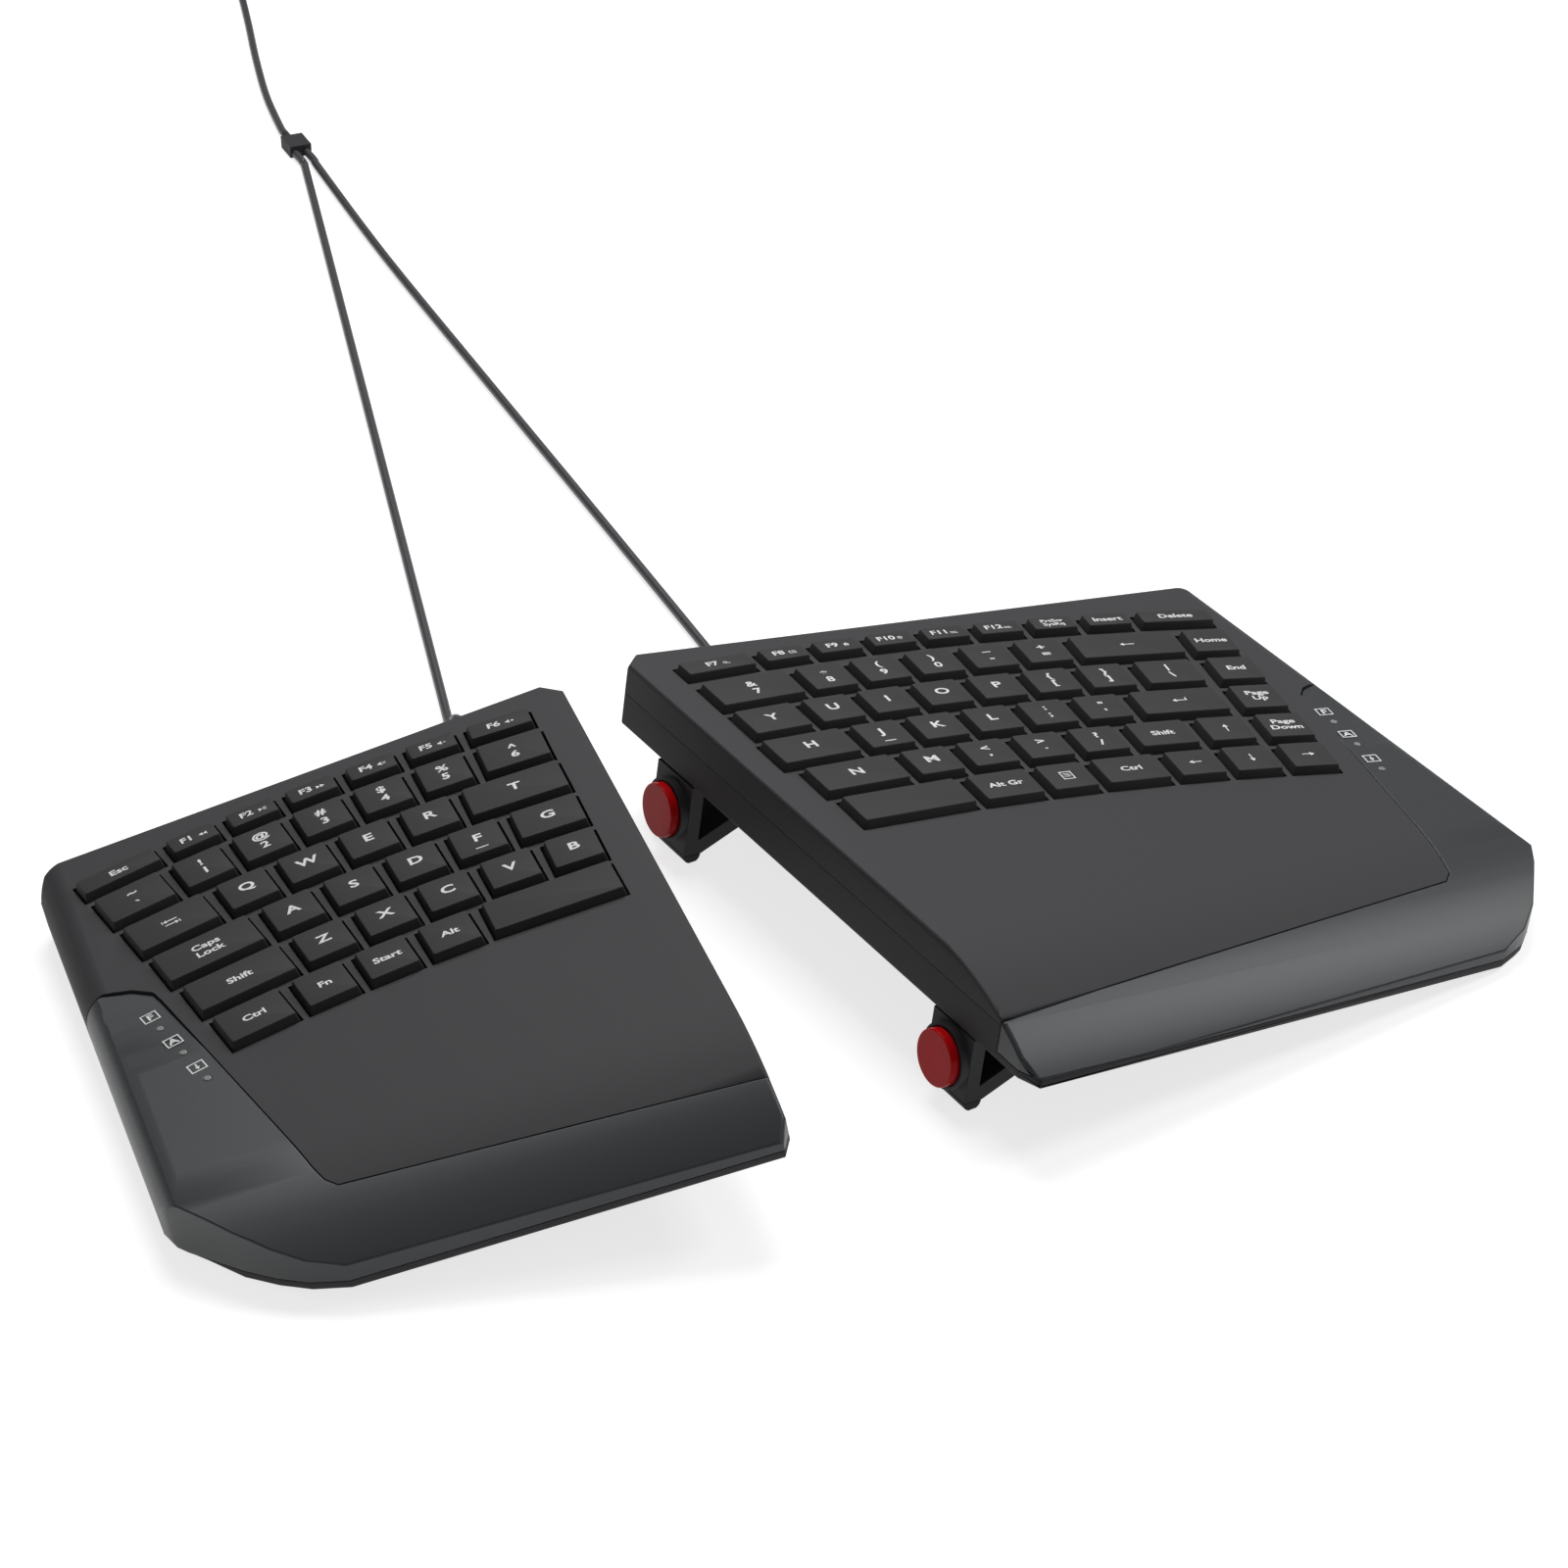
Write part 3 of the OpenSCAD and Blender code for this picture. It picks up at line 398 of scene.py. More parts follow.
def clean_copy(node, join=True):
    """A welded copy of a CAD node's mesh, with the triangles of its flat faces joined up if asked."""
    mesh = frame["nodes"][node].data.copy()
    work = welded(node)
    if join:
        limit = math.radians(FLAT_ANGLE)
        bmesh.ops.dissolve_limit(work, angle_limit=limit, verts=work.verts, edges=work.edges)
    work.to_mesh(mesh)
    work.free()
    return mesh


def outline_of(points):
    """Convex outline of flat points, counterclockwise, to the micrometre."""
    points = sorted(set((round(p[0], 6), round(p[1], 6)) for p in points))
    chains = []
    for run in (points, points[::-1]):
        chain = []
        for p in run:
            while len(chain) > 1 and ((chain[-1][0] - chain[-2][0]) * (p[1] - chain[-2][1])
                                      - (chain[-1][1] - chain[-2][1]) * (p[0] - chain[-2][0])) <= 0:
                chain.pop()
            chain.append(p)
        chains.append(chain[:-1])
    return [Vector(p) for p in chains[0] + chains[1]]


def edge_distance(p, outline):
    """Distance of a flat point to the nearest side of an outline."""
    best = math.inf
    for a, b in zip(outline, outline[1:] + outline[:1]):
        run = b - a
        t = max(0.0, min(1.0, (p - a).dot(run) / run.length_squared))
        best = min(best, (p - a - run * t).length)
    return best


def round_edges(made, radius, weight_of, segments, clamp=False):
    """Rounds the sharp edges of a piece: weight_of gives each edge's share of the radius."""
    mesh = made.data
    work = bmesh.new()
    work.from_mesh(mesh)
    weights = []
    for edge in work.edges:
        sharp = len(edge.link_faces) == 2 and edge.calc_face_angle(0.0) > math.radians(SHARP_ANGLE)
        weights.append(weight_of(edge) if sharp else 0.0)
    work.free()
    layer = mesh.attributes.new("bevel_weight_edge", "FLOAT", "EDGE")
    layer.data.foreach_set("value", weights)
    bevel = made.modifiers.new("rounded_edges", "BEVEL")
    bevel.limit_method = "WEIGHT"
    bevel.width = radius
    bevel.segments = segments
    bevel.use_clamp_overlap = clamp
    bevel.miter_outer = "MITER_ARC"
    bake(made)


def bake(made):
    """Applies a piece's modifiers and sets its shading."""
    ready = made.evaluated_get(bpy.context.evaluated_depsgraph_get())
    mesh = bpy.data.meshes.new_from_object(ready)
    made.modifiers.clear()
    made.data = mesh
    finish_mesh(mesh, SHELL_SHADING)
    level = made.modifiers.new("even_shading", "WEIGHTED_NORMAL")
    level.keep_sharp = True


def dress(node, body, material, radius, segments=2):
    """A rounded piece that stands for one CAD node."""
    made = new_object(node + "_piece", clean_copy(node), material)
    round_edges(made, radius, lambda edge: 1.0, segments, clamp=True)
    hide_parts(node)
    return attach(made, body)


def carry_over(node, material):
    """A CAD node that shows as it is, in its own finish."""
    mesh = frame["nodes"][node].data
    mesh.materials.clear()
    mesh.materials.append(material)


# Cords

def hermite(a, b, slope_a, slope_b, t):
    """A point on the smooth curve from a to b with the given slopes at its ends."""
    return ((2 * t ** 3 - 3 * t ** 2 + 1) * a + (t ** 3 - 2 * t ** 2 + t) * slope_a
            + (3 * t ** 2 - 2 * t ** 3) * b + (t ** 3 - t ** 2) * slope_b)


def smooth_route(points, steps, lowest):
    """Points along a smooth curve through the route that never dips under the floor."""
    points = [Vector(p) for p in points]
    last = len(points) - 1
    slopes = [points[1] - points[0]] + [(points[i + 1] - points[i - 1]) / 2 for i in range(1, last)]
    slopes.append(points[last] - points[last - 1])
    route = [hermite(points[i], points[i + 1], slopes[i], slopes[i + 1], s / steps)
             for i in range(last) for s in range(steps)] + [points[last]]
    return [Vector((p.x, p.y, max(p.z, lowest))) for p in route]


def cord_curve(name, route, diameter):
    """A round cord as one open spline."""
    curve = bpy.data.curves.new(name, "CURVE")
    curve.dimensions = "3D"
    curve.bevel_depth = diameter / 2
    curve.bevel_resolution = CORD_ROUNDNESS
    curve.use_fill_caps = True
    line = curve.splines.new("POLY")
    line.points.add(len(route) - 1)
    for point, place in zip(line.points, route):
        point.co = (*place, 1)
    curve.materials.append(cord_rubber())
    made = bpy.data.objects.new(name, curve)
    bpy.context.scene.collection.objects.link(made)
    return made


def cord_tube(name, route, diameter, sides=12):
    """A round cord as a mesh of rings, closed at both ends."""
    work = bmesh.new()
    rings = []
    for i, place in enumerate(route):
        run = (route[min(i + 1, len(route) - 1)] - route[max(i - 1, 0)]).normalized()
        across = run.cross(Vector((0, 0, 1))).normalized()
        over = across.cross(run)
        turns = [2 * math.pi * j / sides for j in range(sides)]
        rings.append([work.verts.new(place + diameter / 2 * (across * math.cos(turn) + over * math.sin(turn)))
                      for turn in turns])
    for low, high in zip(rings, rings[1:]):
        for j in range(sides):
            work.faces.new((low[j], low[(j + 1) % sides], high[(j + 1) % sides], high[j]))
    work.faces.new(rings[0][::-1])
    work.faces.new(rings[-1])
    bmesh.ops.recalc_face_normals(work, faces=work.faces)
    mesh = bpy.data.meshes.new(name)
    work.to_mesh(mesh)
    work.free()
    finish_mesh(mesh, CORD_SHADING)
    return new_object(name, mesh, cord_rubber())


def outlet(side):
    """First points of a lead: square out of its strain relief, then bending down."""
    low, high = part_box(side + "_gland")
    start = Vector(((low.x + high.x) / 2, high.y, (low.z + high.z) / 2))
    return [start + Vector((0, back, drop)) for back, drop in OUTLET_STEPS]


class KEYBOARD_OT_cords(bpy.types.Operator):
    """Lay the two leads, the fork, the cord with its tied coil, and the plug"""

    bl_idname = "keyboard.cords"
    bl_label = "Cords"

    def execute(self, context):
        thick = sizes().cord
        floor = thick / 2
        fork = dress("cord_fork", "left_half", base_plastic(), radius=0.8 * MM, segments=3)
        tie = dress("cord_tie", "left_half", foot_rubber(), radius=0.4 * MM)
        plug = dress("usb_plug", "left_half", base_plastic(), radius=1.0 * MM, segments=3)
        shell = dress("usb_shell", "left_half", bright_steel(), radius=0.2 * MM)
        route = smooth_route(outlet("left") + LEFT_ROUTE, ROUTE_STEPS, floor)
        lead = cord_curve("left_lead_cord", route, thick)
        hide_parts("left_lead")
        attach(lead, "left_half")
        route = smooth_route(outlet("right") + RIGHT_ROUTE, ROUTE_STEPS, floor)
        lead = cord_tube("right_lead_cord", route, thick)
        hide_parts("right_lead")
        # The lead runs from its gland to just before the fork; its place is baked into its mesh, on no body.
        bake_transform(lead)
        route = smooth_route(MAIN_ROUTE, ROUTE_STEPS, floor)
        middle = route[-1] + Vector((0, thick, 0))
        for i in range(COIL_LOOPS * COIL_STEPS + 1):
            turn = 2 * math.pi * i / COIL_STEPS
            route.append(middle + Vector((COIL_PITCH * i / COIL_STEPS, COIL_RADIUS * math.sin(turn),
                                          COIL_RADIUS * (1 - math.cos(turn)))))
        route.append(route[-1] + Vector((0, COIL_RADIUS + thick, 0)))
        main = cord_curve("main_cord_and_coil", route, thick)
        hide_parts("main_cord", "cord_coil")
        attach(main, "left_half")
        for side in SIDES:
            dress(side + "_gland", HALF_BODY[side], base_plastic(), radius=0.3 * MM)
        return {"FINISHED"}


# Shells

def shell_share(mesh, part, side, radius, to_half, outline):
    """A rule for an edge's share of the radius: all of it on free edges, a little on seams and openings."""
    inwards = 1 if side == "left" else -1
    inner_end = max(inwards * (to_half @ v.co).x for v in mesh.vertices)

    def share(edge):
        start, end = (v.co for v in edge.verts)
        middle = to_half @ ((start + end) / 2)
        along = to_half.to_3x3() @ (end - start).normalized()
        free = edge_distance(middle.xy, outline) < OUTLINE_REACH and abs(along.z) < UPRIGHT
        on_seam = any(abs(middle.z - height) < SEAM_REACH for height in SEAM_HEIGHTS)
        if free and not on_seam:
            return 1.0 if inwards * middle.x < inner_end - INNER_REACH else sizes().edge_radius / radius
        return 0.0 if part == "top_cover" else sizes().seam_radius / radius

    return share


class KEYBOARD_OT_shells(bpy.types.Operator):
    """Round the covers, trims and bottom cases of both halves"""

    bl_idname = "keyboard.shells"
    bl_label = "Shells"

    def execute(self, context):
        finish = {"top_cover": ("case_plastic", case_plastic()),
                  "palm_trim": ("trim_plastic", trim_plastic()),
                  "bottom_case": ("base_plastic", base_plastic())}
        for side in SIDES:
            to_half = half_frame(side).inverted()
            solids = [frame["nodes"][f"{side}_{part}"].data for part in finish]
            outline = outline_of([(to_half @ v.co).xy for solid in solids for v in solid.vertices])
            for part, (slot, material) in finish.items():
                node = f"{side}_{part}"
                made = new_object(node + "_shell", clean_copy(node, part != "top_cover"), material)
                is_trim = part == "palm_trim"
                radius = sizes().fold_radius if is_trim else sizes().edge_radius
                share = shell_share(made.data, part, side, radius, to_half, outline)
                round_edges(made, radius, share, TRIM_SEGMENTS if is_trim else CASE_SEGMENTS)
                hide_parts(node)
                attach(made, HALF_BODY[side])
        return {"FINISHED"}


class KEYBOARD_OT_inner_pieces(bpy.types.Operator):
    """Give the board, dome sheet, key guide, screws, lenses and feet their finishes"""

    bl_idname = "keyboard.inner_pieces"
    bl_label = "Inner Pieces"

    def execute(self, context):
        for side in SIDES:
            carry_over(side + "_circuit_board", board_lacquer())
            carry_over(side + "_dome_sheet", dome_silicone())
            carry_over(side + "_key_guide", base_plastic())
            carry_over(side + "_screws", bright_steel())
            dress(side + "_led_lenses", HALF_BODY[side], clear_lens(), radius=0.25 * MM, segments=3)
            dress(side + "_feet", HALF_BODY[side], foot_rubber(), radius=0.3 * MM)
        return {"FINISHED"}


# Keys

def islands(work):
    """The separate solids of a mesh, as lists of vertices."""
    left, found = set(work.verts), []
    while left:
        group, todo = [], [left.pop()]
        while todo:
            vert = todo.pop()
            group.append(vert)
            for edge in vert.link_edges:
                other = edge.other_vert(vert)
                if other in left:
                    left.remove(other)
                    todo.append(other)
        found.append(group)
    return found


def key_places(node, side):
    """Place in the row, frame, top width and depth, skirt and full height of each key, from left to right."""
    grid = half_frame(side)
    to_half = grid.inverted()
    work = welded(node)
    places = []
    for group in islands(work):
        spots = [to_half @ v.co for v in group]
        top = max(p.z for p in spots)
        corners = sorted((p for p in spots if p.z > top - TOP_BAND), key=lambda p: p.x)
        low_side, high_side = corners[:2], corners[-2:]
        run = (high_side[0] + high_side[1] - low_side[0] - low_side[1]) / 2
        middle = sum(corners, Vector()) / len(corners)
        turn = Matrix.Rotation(math.atan2(run.y, run.x), 4, "Z")
        rim = [p.z for p in spots if (p - middle).xy.length > STEM_ZONE]
        places.append(KeyPlace(
            along=middle.x, grid=grid @ Matrix.Translation(middle) @ turn, width=run.length,
            depth=(low_side[0] - low_side[1]).length, skirt=top - min(rim),
            reach=top - min(p.z for p in spots)))
    work.free()
    return sorted(places, key=lambda place: place.along)


def rounded_ring(width, depth, radius, steps=4):
    """Points round a rectangle with rounded corners."""
    ring = []
    for cx, cy, start in ((1, 1, 0), (-1, 1, 90), (-1, -1, 180), (1, -1, 270)):
        for i in range(steps + 1):
            turn = math.radians(start + 90 * i / steps)
            ring.append((cx * (width / 2 - radius) + radius * math.cos(turn),
                         cy * (depth / 2 - radius) + radius * math.sin(turn)))
    return ring


def skin(work, grid, rings):
    """A closed skin over rings of points, with a flat face at each end."""
    rings = [[work.verts.new(grid @ Vector(point)) for point in ring] for ring in rings]
    for low, high in zip(rings, rings[1:]):
        for i in range(len(low)):
            j = (i + 1) % len(low)
            work.faces.new((low[i], low[j], high[j], high[i]))
    work.faces.new(rings[0][::-1])
    work.faces.new(rings[-1])


def add_key(work, place):
    """One key cap: hollow skirt, rounded top edge, flat top and stem."""
    width, depth, corner, edge = place.width, place.depth, sizes().key_corner, sizes().key_edge
    foot_w, foot_d = width + KEY_FLARE, depth + KEY_FLARE
    inner_w, inner_d = foot_w - 2 * KEY_WALL, foot_d - 2 * KEY_WALL
    roof = -place.skirt + KEY_HOLLOW
    # Height, width, depth and corner radius of each ring, from the hollow's roof out and up to the top.
    profile = [(roof, inner_w, inner_d, corner / 2),
               (-place.skirt, inner_w, inner_d, corner / 2),
               (-place.skirt, foot_w, foot_d, corner),
               (-edge * 1.4, width + 0.1 * KEY_FLARE, depth + 0.1 * KEY_FLARE, corner),
               (-edge * 0.7, width - 0.1 * edge, depth - 0.1 * edge, corner),
               (-edge * 0.2, width - 0.7 * edge, depth - 0.7 * edge, corner),
               (0, width - 2 * edge, depth - 2 * edge, corner)]
    skin(work, place.grid, [[(x, y, z) for x, y in rounded_ring(w, d, r)] for z, w, d, r in profile])
    turns = [math.radians(360 * i / STEM_SIDES) for i in range(STEM_SIDES)]
    ring = [(STEM_RADIUS * math.cos(turn), STEM_RADIUS * math.sin(turn)) for turn in turns]
    skin(work, place.grid, [[(x, y, z) for x, y in ring] for z in (-place.reach, roof)])


class KEYBOARD_OT_keys(bpy.types.Operator):
    """Mould every key cap, one piece for each group of keys that moves together"""

    bl_idname = "keyboard.keys"
    bl_label = "Keys"

    def execute(self, context):
        for side in SIDES:
            for node in KEY_NODES[side]:
                work = bmesh.new()
                for place in key_places(node, side):
                    add_key(work, place)
                bmesh.ops.recalc_face_normals(work, faces=work.faces)
                mesh = bpy.data.meshes.new(node + "_caps")
                work.to_mesh(mesh)
                work.free()
                finish_mesh(mesh, KEY_SHADING)
                made = new_object(node + "_caps", mesh, key_plastic())
                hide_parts(node)
                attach(made, node)
        return {"FINISHED"}


# Printed signs, drawn in millimetres round their own middle

def arrow(length, head=1.0, shaft=0.42):
    """An arrow to the right."""
    tail, neck = -length / 2, length / 2 - 1.5 * head
    return [[(tail, -shaft / 2), (neck, -shaft / 2), (neck, shaft / 2), (tail, shaft / 2)],
            [(neck, -head), (length / 2, 0), (neck, head)]]


def turned(polygons, angle, shift=(0, 0)):
    """Polygons turned by an angle in degrees, then moved."""
    c, s = math.cos(math.radians(angle)), math.sin(math.radians(angle))
    return [[(x * c - y * s + shift[0], x * s + y * c + shift[1]) for x, y in p] for p in polygons]


def bar(x0, y0, x1, y1):
    """A rectangle between two corners."""
    return [(x0, y0), (x1, y0), (x1, y1), (x0, y1)]


def frame_lines(width, height, line):
    """The four sides of a printed box."""
    w, h = width / 2, height / 2
    return [bar(-w, -h, w, -h + line), bar(-w, h - line, w, h), bar(-w, -h + line, -w + line, h - line),
            bar(w - line, -h + line, w, h - line)]


def circle_line(radius, line, steps=16):
    """A printed ring as quads."""

    def at(r, i):
        turn = 2 * math.pi * i / steps
        return (r * math.cos(turn), r * math.sin(turn))

    inner = radius - line
    return [[at(radius, i), at(radius, i + 1), at(inner, i + 1), at(inner, i)] for i in range(steps)]


def speaker():
    """A loudspeaker seen from the side."""
    return [bar(-1.1, -0.35, -0.6, 0.35), [(-0.6, -0.35), (0.1, -0.95), (0.1, 0.95), (-0.6, 0.35)]]


def sign(name):
    """Polygons of a named sign."""
    right_tip = [(-0.9, -0.75), (0.4, 0), (-0.9, 0.75)]
    stroke = bar(-0.7, -0.12, 0.7, 0.12)
    flap = bar(-0.1, -0.1, 1.3, 0.1)
    shapes = {
        "rewind": turned([right_tip], 180, (-0.7, 0)) + turned([right_tip], 180, (0.6, 0)),
        "forward": turned([right_tip], 0, (-0.6, 0)) + turned([right_tip], 0, (0.7, 0)),
        "play": [right_tip, bar(0.6, -0.75, 0.85, 0.75), bar(1.15, -0.75, 1.4, 0.75)],
        "mute": speaker() + turned([stroke], 45, (0.9, 0)) + turned([stroke], -45, (0.9, 0)),
        "quieter": speaker() + [bar(0.5, -0.15, 1.5, 0.15)],
        "louder": speaker() + [bar(0.5, -0.15, 1.5, 0.15), bar(0.85, -0.5, 1.15, 0.5)],
        "search": turned(circle_line(0.65, 0.25), 0, (-0.4, 0.1))
        + turned([bar(0, -0.15, 1.2, 0.15)], -25, (0.15, -0.15)),
        "mail": frame_lines(2.4, 1.5, 0.22) + turned([flap], 148, (0.05, -0.15))
        + turned([flap], 32, (-0.05, -0.15)),
        "house": [[(-1.1, 0), (1.1, 0), (0, 0.95)], bar(-0.7, -0.85, -0.2, 0), bar(0.2, -0.85, 0.7, 0)],
        "globe": circle_line(0.85, 0.22) + [bar(-0.75, -0.1, 0.75, 0.1), bar(-0.1, -0.75, 0.1, 0.75)],
        "dash": [bar(-1.3, -0.9, 1.3, -0.6), bar(-1.3, -0.2, 0.9, 0.1)],
        "tab": turned(arrow(4.4, 0.75, 0.4), 180, (0, 0.9)) + turned(arrow(4.4, 0.75, 0.4), 0, (0, -0.9))
        + [bar(-2.6, 0.2, -2.3, 1.6), bar(2.3, -1.6, 2.6, -0.2)],
        "back": turned(arrow(5.0, 0.95), 180),
        "enter": turned(arrow(5.0, 0.95), 180) + [bar(2.08, 0.2, 2.5, 1.5)],
        "left": turned(arrow(4.2), 180),
        "right": arrow(4.2),
        "up": turned(arrow(4.2), 90),
        "down": turned(arrow(4.2), -90),
        "menu": frame_lines(4.0, 4.4, 0.4)
        + [bar(-1.1, 0.8, 1.1, 1.1), bar(-1.1, 0.0, 1.1, 0.3), bar(-1.1, -0.8, 1.1, -0.5)],
        "bump": [bar(-1.9, -0.22, 1.9, 0.22)],
    }
    return shapes[name]


def letter_faces(text, size):
    """Flat faces of a word, centred, in metres."""
    curve = bpy.data.curves.new("word", "FONT")
    curve.body = text
    curve.size = size
    curve.align_x = "CENTER"
    curve.offset = LETTER_WEIGHT * size
    curve.resolution_u = 3
    made = bpy.data.objects.new("word", curve)
    bpy.context.scene.collection.objects.link(made)
    bpy.context.view_layer.update()
    mesh = bpy.data.meshes.new_from_object(made.evaluated_get(bpy.context.evaluated_depsgraph_get()))
    faces = [[mesh.vertices[i].co.xy.copy() for i in p.vertices] for p in mesh.polygons]
    bpy.data.objects.remove(made)
    bpy.data.curves.remove(curve)
    bpy.data.meshes.remove(mesh)
    tops = [p.y for face in faces for p in face]
    rise = (max(tops) + min(tops)) / 2 if tops else 0
    return [[(p.x * LETTER_STRETCH, p.y - rise) for p in face] for face in faces]


def print_faces(work, faces, grid, lift, shift=(0, 0)):
    """Adds flat faces a hair above a surface."""
    for face in faces:
        work.faces.new([work.verts.new(grid @ Vector((x + shift[0], y + shift[1], lift))) for x, y in face])


def in_metres(polygons):
    """A sign's polygons from millimetres to metres."""
    return [[(x * MM, y * MM) for x, y in p] for p in polygons]


def print_key(work, place, text):
    """Prints one key's signs on its top."""
    letter, word = sizes().letter, sizes().word

    def put(faces, shift=(0, 0), lift=INK_LIFT):
        print_faces(work, faces, place.grid, lift, shift)

    if "<bump>" in text:
        text = text.replace("<bump>", "")
        put(in_metres(sign("bump")), (0, BAR_PLACE * place.depth), BAR_LIFT)
    if "+<" in text:
        name, mark = text.split("+<")
        put(letter_faces(name, word), WORD_SHIFT)
        put(in_metres(sign(mark[:-1])), MARK_SHIFT)
    elif len(text) > 2 and text.startswith("<") and text.endswith(">"):
        put(in_metres(sign(text[1:-1])))
    elif "|" in text:
        upper, lower = ("|", "\\") if text == "||\\" else text.split("|")
        small, wordy = place.depth < SMALL_KEY_DEPTH, len(lower) > 1
        size = (SMALL_KEY_SHARE if small else 1.0) * (word if wordy else PAIR_SHARE * letter)
        gap = SMALL_GAP if small else WORD_GAP if wordy else SIGN_GAP
        put(letter_faces(upper, size), (0, gap))
        put(letter_faces(lower, size), (0, -gap))
    elif len(text) == 1:
        put(letter_faces(text, letter), (0, LETTER_RISE))
    elif text:
        put(letter_faces(text, word))


class KEYBOARD_OT_legends(bpy.types.Operator):
    """Print the signs on the keys and beside the indicator lenses"""

    bl_idname = "keyboard.legends"
    bl_label = "Legends"

    def execute(self, context):
        for side in SIDES:
            for node in KEY_NODES[side]:
                work = bmesh.new()
                for place, text in zip(key_places(node, side), LEGENDS[node], strict=True):
                    print_key(work, place, text)
                if work.faces:
                    self.add(node + "_legends", work, node, "key_plastic")
                work.free()
            self.indicator_signs(side)
        return {"FINISHED"}

    def add(self, name, work, body, slot):
        """Turns printed faces into a piece that rides on a body."""
        mesh = bpy.data.meshes.new(name)
        work.to_mesh(mesh)
        made = new_object(name, mesh, legend_ink())
        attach(made, body)

    def indicator_signs(self, side):
        """Three boxed signs, each behind its lens."""
        grid = half_frame(side)
        to_half = grid.inverted()
        work = welded(side + "_led_lenses")
        lenses = []
        for group in islands(work):
            spots = [to_half @ v.co for v in group]
            lenses.append(Vector((sum(p.x for p in spots) / len(spots), sum(p.y for p in spots) / len(spots),
                                  max(p.z for p in spots))))
        work.clear()
        lenses.sort(key=lambda p: -p.y)
        run = lenses[0] - lenses[-1]
        lean = math.atan2(run.x, run.y)
        lean_turn = Matrix.Rotation(-lean, 4, "Z")
        for lens, text in zip(lenses, INDICATOR_TEXTS, strict=True):
            spot = grid @ Matrix.Translation((lens.x, lens.y, lens.z - LENS_RISE)) @ lean_turn
            spot = spot @ Matrix.Translation((0, INDICATOR_BACK, 0))
            print_faces(work, in_metres(frame_lines(*INDICATOR_BOX)), spot, 0)
            if text == "<down>":
                print_faces(work, in_metres(turned(arrow(*INDICATOR_ARROW), -90)), spot, 0)
            else:
                print_faces(work, letter_faces(text, INDICATOR_LETTER * sizes().letter), spot, 0)
        self.add(side + "_indicator_signs", work, HALF_BODY[side], "trim_plastic")
        work.free()


class KEYBOARD_OT_risers(bpy.types.Operator):
    """Round the plug-in risers, their red buttons and rubber pads"""

    bl_idname = "keyboard.risers"
    bl_label = "Risers"

    def execute(self, context):
        for riser in RISERS:
            body = riser + "_riser"
            dress(riser + "_riser", body, base_plastic(), radius=0.5 * MM, segments=3)
            dress(riser + "_pad", body, foot_rubber(), radius=0.3 * MM)
            button = riser + "_button"
            dress(button, button, red_plastic(), radius=0.7 * MM, segments=4)
        return {"FINISHED"}


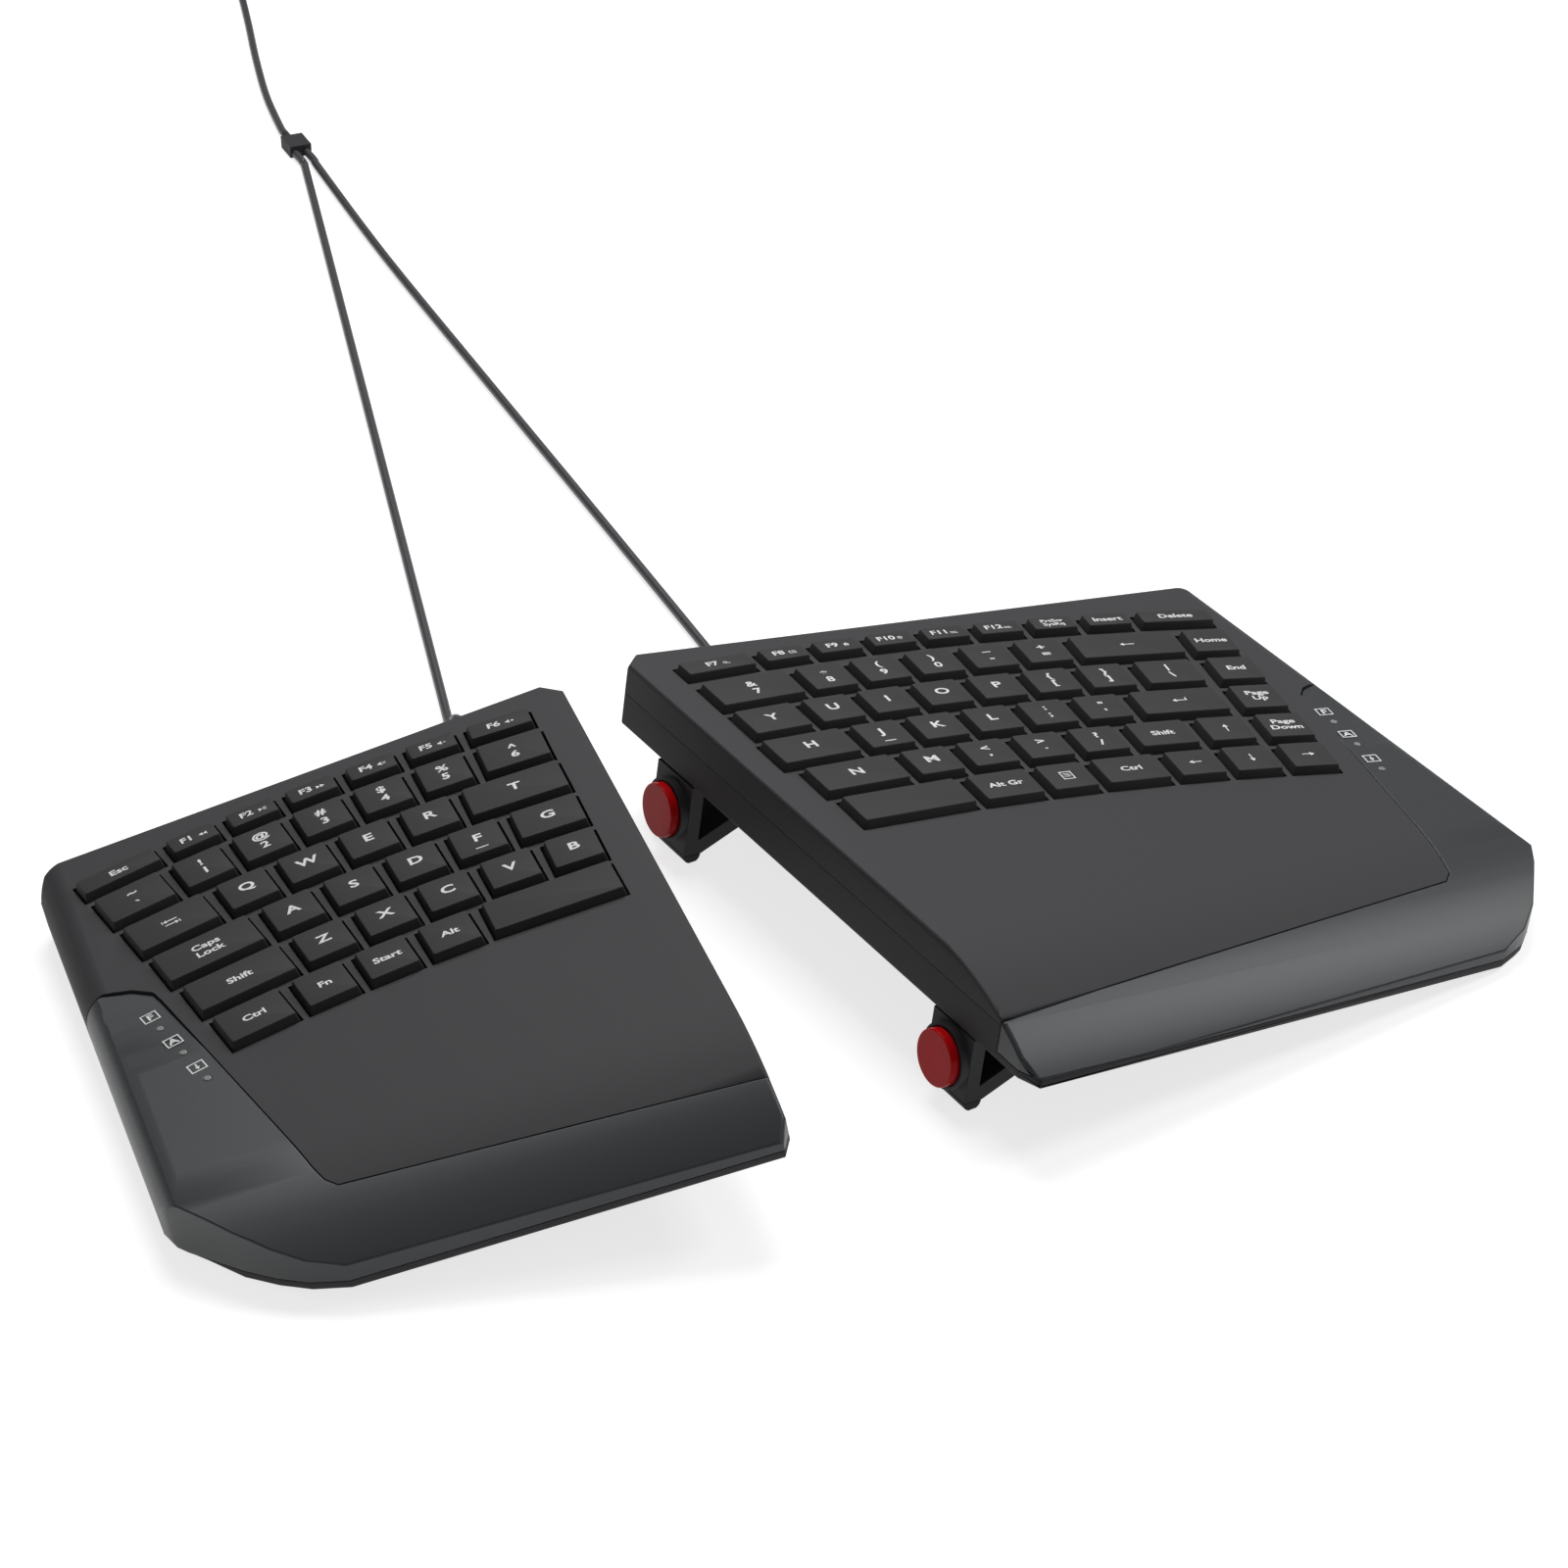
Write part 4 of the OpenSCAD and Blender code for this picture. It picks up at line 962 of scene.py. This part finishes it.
class KEYBOARD_OT_stage(bpy.types.Operator):
    """Set the camera, the pale floor and the soft studio light"""

    bl_idname = "keyboard.stage"
    bl_label = "Stage"

    def execute(self, context):
        scene = context.scene
        lens = bpy.data.cameras.new("camera")
        lens.sensor_width = CAMERA_SENSOR
        lens.lens = CAMERA_LENS
        lens.clip_end = CAMERA_REACH
        camera = bpy.data.objects.new("camera", lens)
        camera.location = CAMERA_PLACE
        camera.rotation_mode = "QUATERNION"
        camera.rotation_quaternion = Vector(CAMERA_LOOK).to_track_quat("-Z", "Y")
        scene.collection.objects.link(camera)
        scene.camera = camera
        self.floor()
        self.lights(scene)
        scene.view_settings.view_transform = "Standard"
        return {"FINISHED"}

    def floor(self):
        """A floor that looks pale to the camera and in reflections, and keeps the shadow."""
        work = bmesh.new()
        bmesh.ops.create_grid(work, x_segments=8, y_segments=8, size=FLOOR_SIZE)
        mesh = bpy.data.meshes.new("floor")
        work.to_mesh(mesh)
        work.free()
        paint = bpy.data.materials.new("pale_floor")
        paint.use_nodes = True
        nodes, links = paint.node_tree.nodes, paint.node_tree.links
        shader = nodes["Principled BSDF"]
        shader.inputs["Base Color"].default_value = (FLOOR_GREY, FLOOR_GREY, FLOOR_GREY, 1)
        shader.inputs["Roughness"].default_value = FLOOR_ROUGHNESS
        shader.inputs["Specular IOR Level"].default_value = FLOOR_SPECULAR
        shader.inputs["Emission Color"].default_value = (1, 1, 1, 1)
        path = nodes.new("ShaderNodeLightPath")
        seen = path.outputs["Is Camera Ray"]
        for ray in ("Is Glossy Ray", "Is Transmission Ray"):
            either = nodes.new("ShaderNodeMath")
            either.operation = "MAXIMUM"
            links.new(seen, either.inputs[0])
            links.new(path.outputs[ray], either.inputs[1])
            seen = either.outputs["Value"]
        share = nodes.new("ShaderNodeMath")
        share.operation = "MULTIPLY"
        share.inputs[1].default_value = FLOOR_GLOW
        links.new(seen, share.inputs[0])
        links.new(share.outputs["Value"], shader.inputs["Emission Strength"])
        floor = new_object("floor", mesh, paint)
        floor.location.z = FLOOR_Z

    def lights(self, scene):
        """A dim even world and the lamps."""
        world = bpy.data.worlds.new("studio")
        world.use_nodes = True
        sky = world.node_tree.nodes["Background"]
        sky.inputs["Color"].default_value = (1, 1, 1, 1)
        sky.inputs["Strength"].default_value = WORLD_LIGHT
        scene.world = world
        for name, place, size, power in LAMPS:
            lamp = bpy.data.lights.new(name, "AREA")
            lamp.size = size
            lamp.energy = power
            made = bpy.data.objects.new(name, lamp)
            made.location = place
            made.rotation_mode = "QUATERNION"
            made.rotation_quaternion = (-Vector(place)).to_track_quat("-Z", "Y")
            scene.collection.objects.link(made)


STEPS = (KEYBOARD_OT_stage, KEYBOARD_OT_cords, KEYBOARD_OT_shells, KEYBOARD_OT_inner_pieces, KEYBOARD_OT_keys,
         KEYBOARD_OT_legends, KEYBOARD_OT_risers)


class KEYBOARD_PT_panel(bpy.types.Panel):
    """Lists the keyboard's sizes, colours and steps"""

    bl_idname = "KEYBOARD_PT_panel"
    bl_label = "Split Keyboard"
    bl_space_type = "VIEW_3D"
    bl_region_type = "UI"
    bl_category = "Keyboard"

    def draw(self, context):
        for group in (context.scene.keyboard_sizes, context.scene.keyboard_colours):
            for name in group.bl_rna.properties.keys():
                if name not in ("rna_type", "name"):
                    self.layout.prop(group, name)
        for step in STEPS:
            self.layout.operator(step.bl_idname)


CLASSES = (KeyboardSizes, KeyboardColours, *STEPS, KEYBOARD_PT_panel)


def register():
    for each in CLASSES:
        bpy.utils.register_class(each)
    bpy.types.Scene.keyboard_sizes = bpy.props.PointerProperty(type=KeyboardSizes)
    bpy.types.Scene.keyboard_colours = bpy.props.PointerProperty(type=KeyboardColours)


def unregister():
    del bpy.types.Scene.keyboard_colours
    del bpy.types.Scene.keyboard_sizes
    for each in reversed(CLASSES):
        bpy.utils.unregister_class(each)


def main():
    register()
    bpy.ops.keyboard.stage()
    bpy.ops.keyboard.cords()
    bpy.ops.keyboard.shells()
    bpy.ops.keyboard.inner_pieces()
    bpy.ops.keyboard.keys()
    bpy.ops.keyboard.legends()
    bpy.ops.keyboard.risers()
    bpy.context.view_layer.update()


if __name__ == "__main__":
    main()
